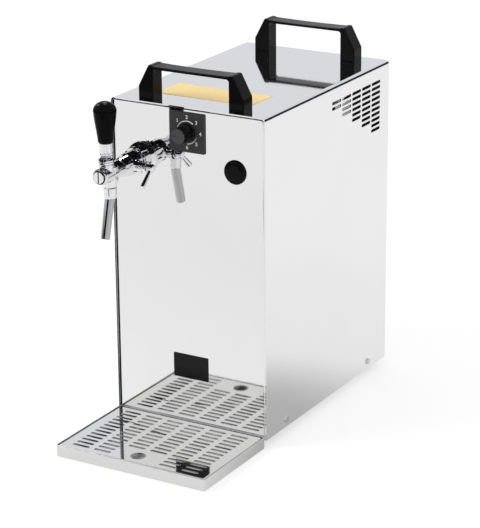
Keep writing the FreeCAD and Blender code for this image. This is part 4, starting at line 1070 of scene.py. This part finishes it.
def make_card(name, corners, shade, glow=0.0):
    """A card beside the object, seen only in polished surfaces."""
    mesh = mesh_from(corners, [tuple(range(len(corners)))])
    card = bpy.data.objects.new(name, mesh)
    bpy.context.scene.collection.objects.link(card)
    material, _, _, shader = new_material(name)
    shader.inputs["Base Color"].default_value = (shade, shade, shade, 1)
    shader.inputs["Roughness"].default_value = 1.0
    shader.inputs["Specular IOR Level"].default_value = 0.0
    shader.inputs["Emission Color"].default_value = (1, 1, 1, 1)
    shader.inputs["Emission Strength"].default_value = glow
    material.cycles.emission_sampling = "NONE"
    mesh.materials.append(material)
    card.visible_camera = False
    card.visible_diffuse = False
    card.visible_shadow = False
    card.visible_transmission = False


SOFTBOX_AIM = Vector((0, -100, 350))


def make_softbox(name, at, width, height, glow):
    """A bright card that faces the tap, seen only in polished surfaces."""
    at = Vector(at)
    facing = (SOFTBOX_AIM - at).normalized()
    side = facing.cross(Vector((0, 0, 1))).normalized() * width / 2
    rise = side.cross(facing).normalized() * height / 2
    make_card(name, [at - side - rise, at + side - rise, at + side + rise, at - side + rise], 0.0, glow)


def make_key_lamp(at, aim, size, power):
    """A square lamp that polished surfaces don't show."""
    data = bpy.data.lights.new("key", "AREA")
    data.shape = "SQUARE"
    data.size = size
    data.energy = power
    lamp = bpy.data.objects.new("key", data)
    bpy.context.scene.collection.objects.link(lamp)
    lamp.location = at
    lamp.rotation_mode = "QUATERNION"
    lamp.rotation_quaternion = (Vector(aim) - Vector(at)).to_track_quat("-Z", "Y")
    lamp.visible_glossy = False


# Line of sight to the left front bend, seen from above
SIGHT = Vector((-0.556, 0.831, 0))
# Way from the object to the camera, and the way across it, seen from above
TOWARDS = Vector((0.504, -0.864, 0))
ACROSS = Vector((0.864, 0.504, 0))
# Cards far in front of the panel: their sides, their top and how far ahead they stand
CARD_LEFT, CARD_RIGHT, CARD_TOP = -1300, 330, 665
DARK_AHEAD, BRIGHT_AHEAD = 1125, 1120
ROOF_UP = 396


def upright_card(name, corners, ahead_of_origin, shade, glow=0.0):
    """A card across the front, from corners (x, z)."""
    make_card(name, [(x, -ahead_of_origin, z) for x, z in corners], shade, glow)


def make_cards():
    """Dark and bright cards that the polished sheets and the chrome show."""
    # Dark strip beside the left front bend, edge on to the camera
    near = Vector((-108, -97, 0)) - SIGHT * 10.5
    far = near + SIGHT * 16
    rise = Vector((0, 0, 392))
    make_card("side_card", [near, far, far + rise, near + rise], 0.01)
    upright_card("front_card", [(CARD_LEFT, 350), (-470, 350), (-470, 500), (CARD_RIGHT, 500),
                                (CARD_RIGHT, CARD_TOP), (CARD_LEFT, CARD_TOP)], BRIGHT_AHEAD, 0.0, 0.8)
    # Dark card over the tap, too low for the top of the cabinet to mirror
    roof = ((-280, -280), (110, -280), (110, -98), (-280, -98))
    make_card("tap_roof", [(x, y, ROOF_UP) for x, y in roof], 0.02)
    upright_card("dark_card", [(CARD_LEFT, 95), (CARD_RIGHT, 95), (CARD_RIGHT, CARD_TOP),
                               (CARD_LEFT, CARD_TOP)], DARK_AHEAD, 0.012)
    # Dark strip beside the right top bend
    make_card("edge_card", [(108, y, z) for y, z in ((-100, 387), (260, 387), (260, 403), (-100, 403))], 0.03)
    # Dark patch on the table in front of the object
    start = TOWARDS * 780 + Vector((0, 0, 1))
    left, right, deep = -ACROSS * 620, -ACROSS * 300, TOWARDS * 220
    make_card("table_end", [start + left, start + right, start + right + deep, start + left + deep], 0.02)
    make_softbox("spark", (-1500, 100, 1600), 400, 400, glow=18)
    make_softbox("softbox", (-640, 780, 2080), 600, 1400, glow=8)


make_floor()
make_world()
make_cards()
make_key_lamp((-1.3, -1.2, 1.9), (0, 0, 0.2), size=0.9, power=12)

bpy.context.scene.view_settings.view_transform = "Standard"
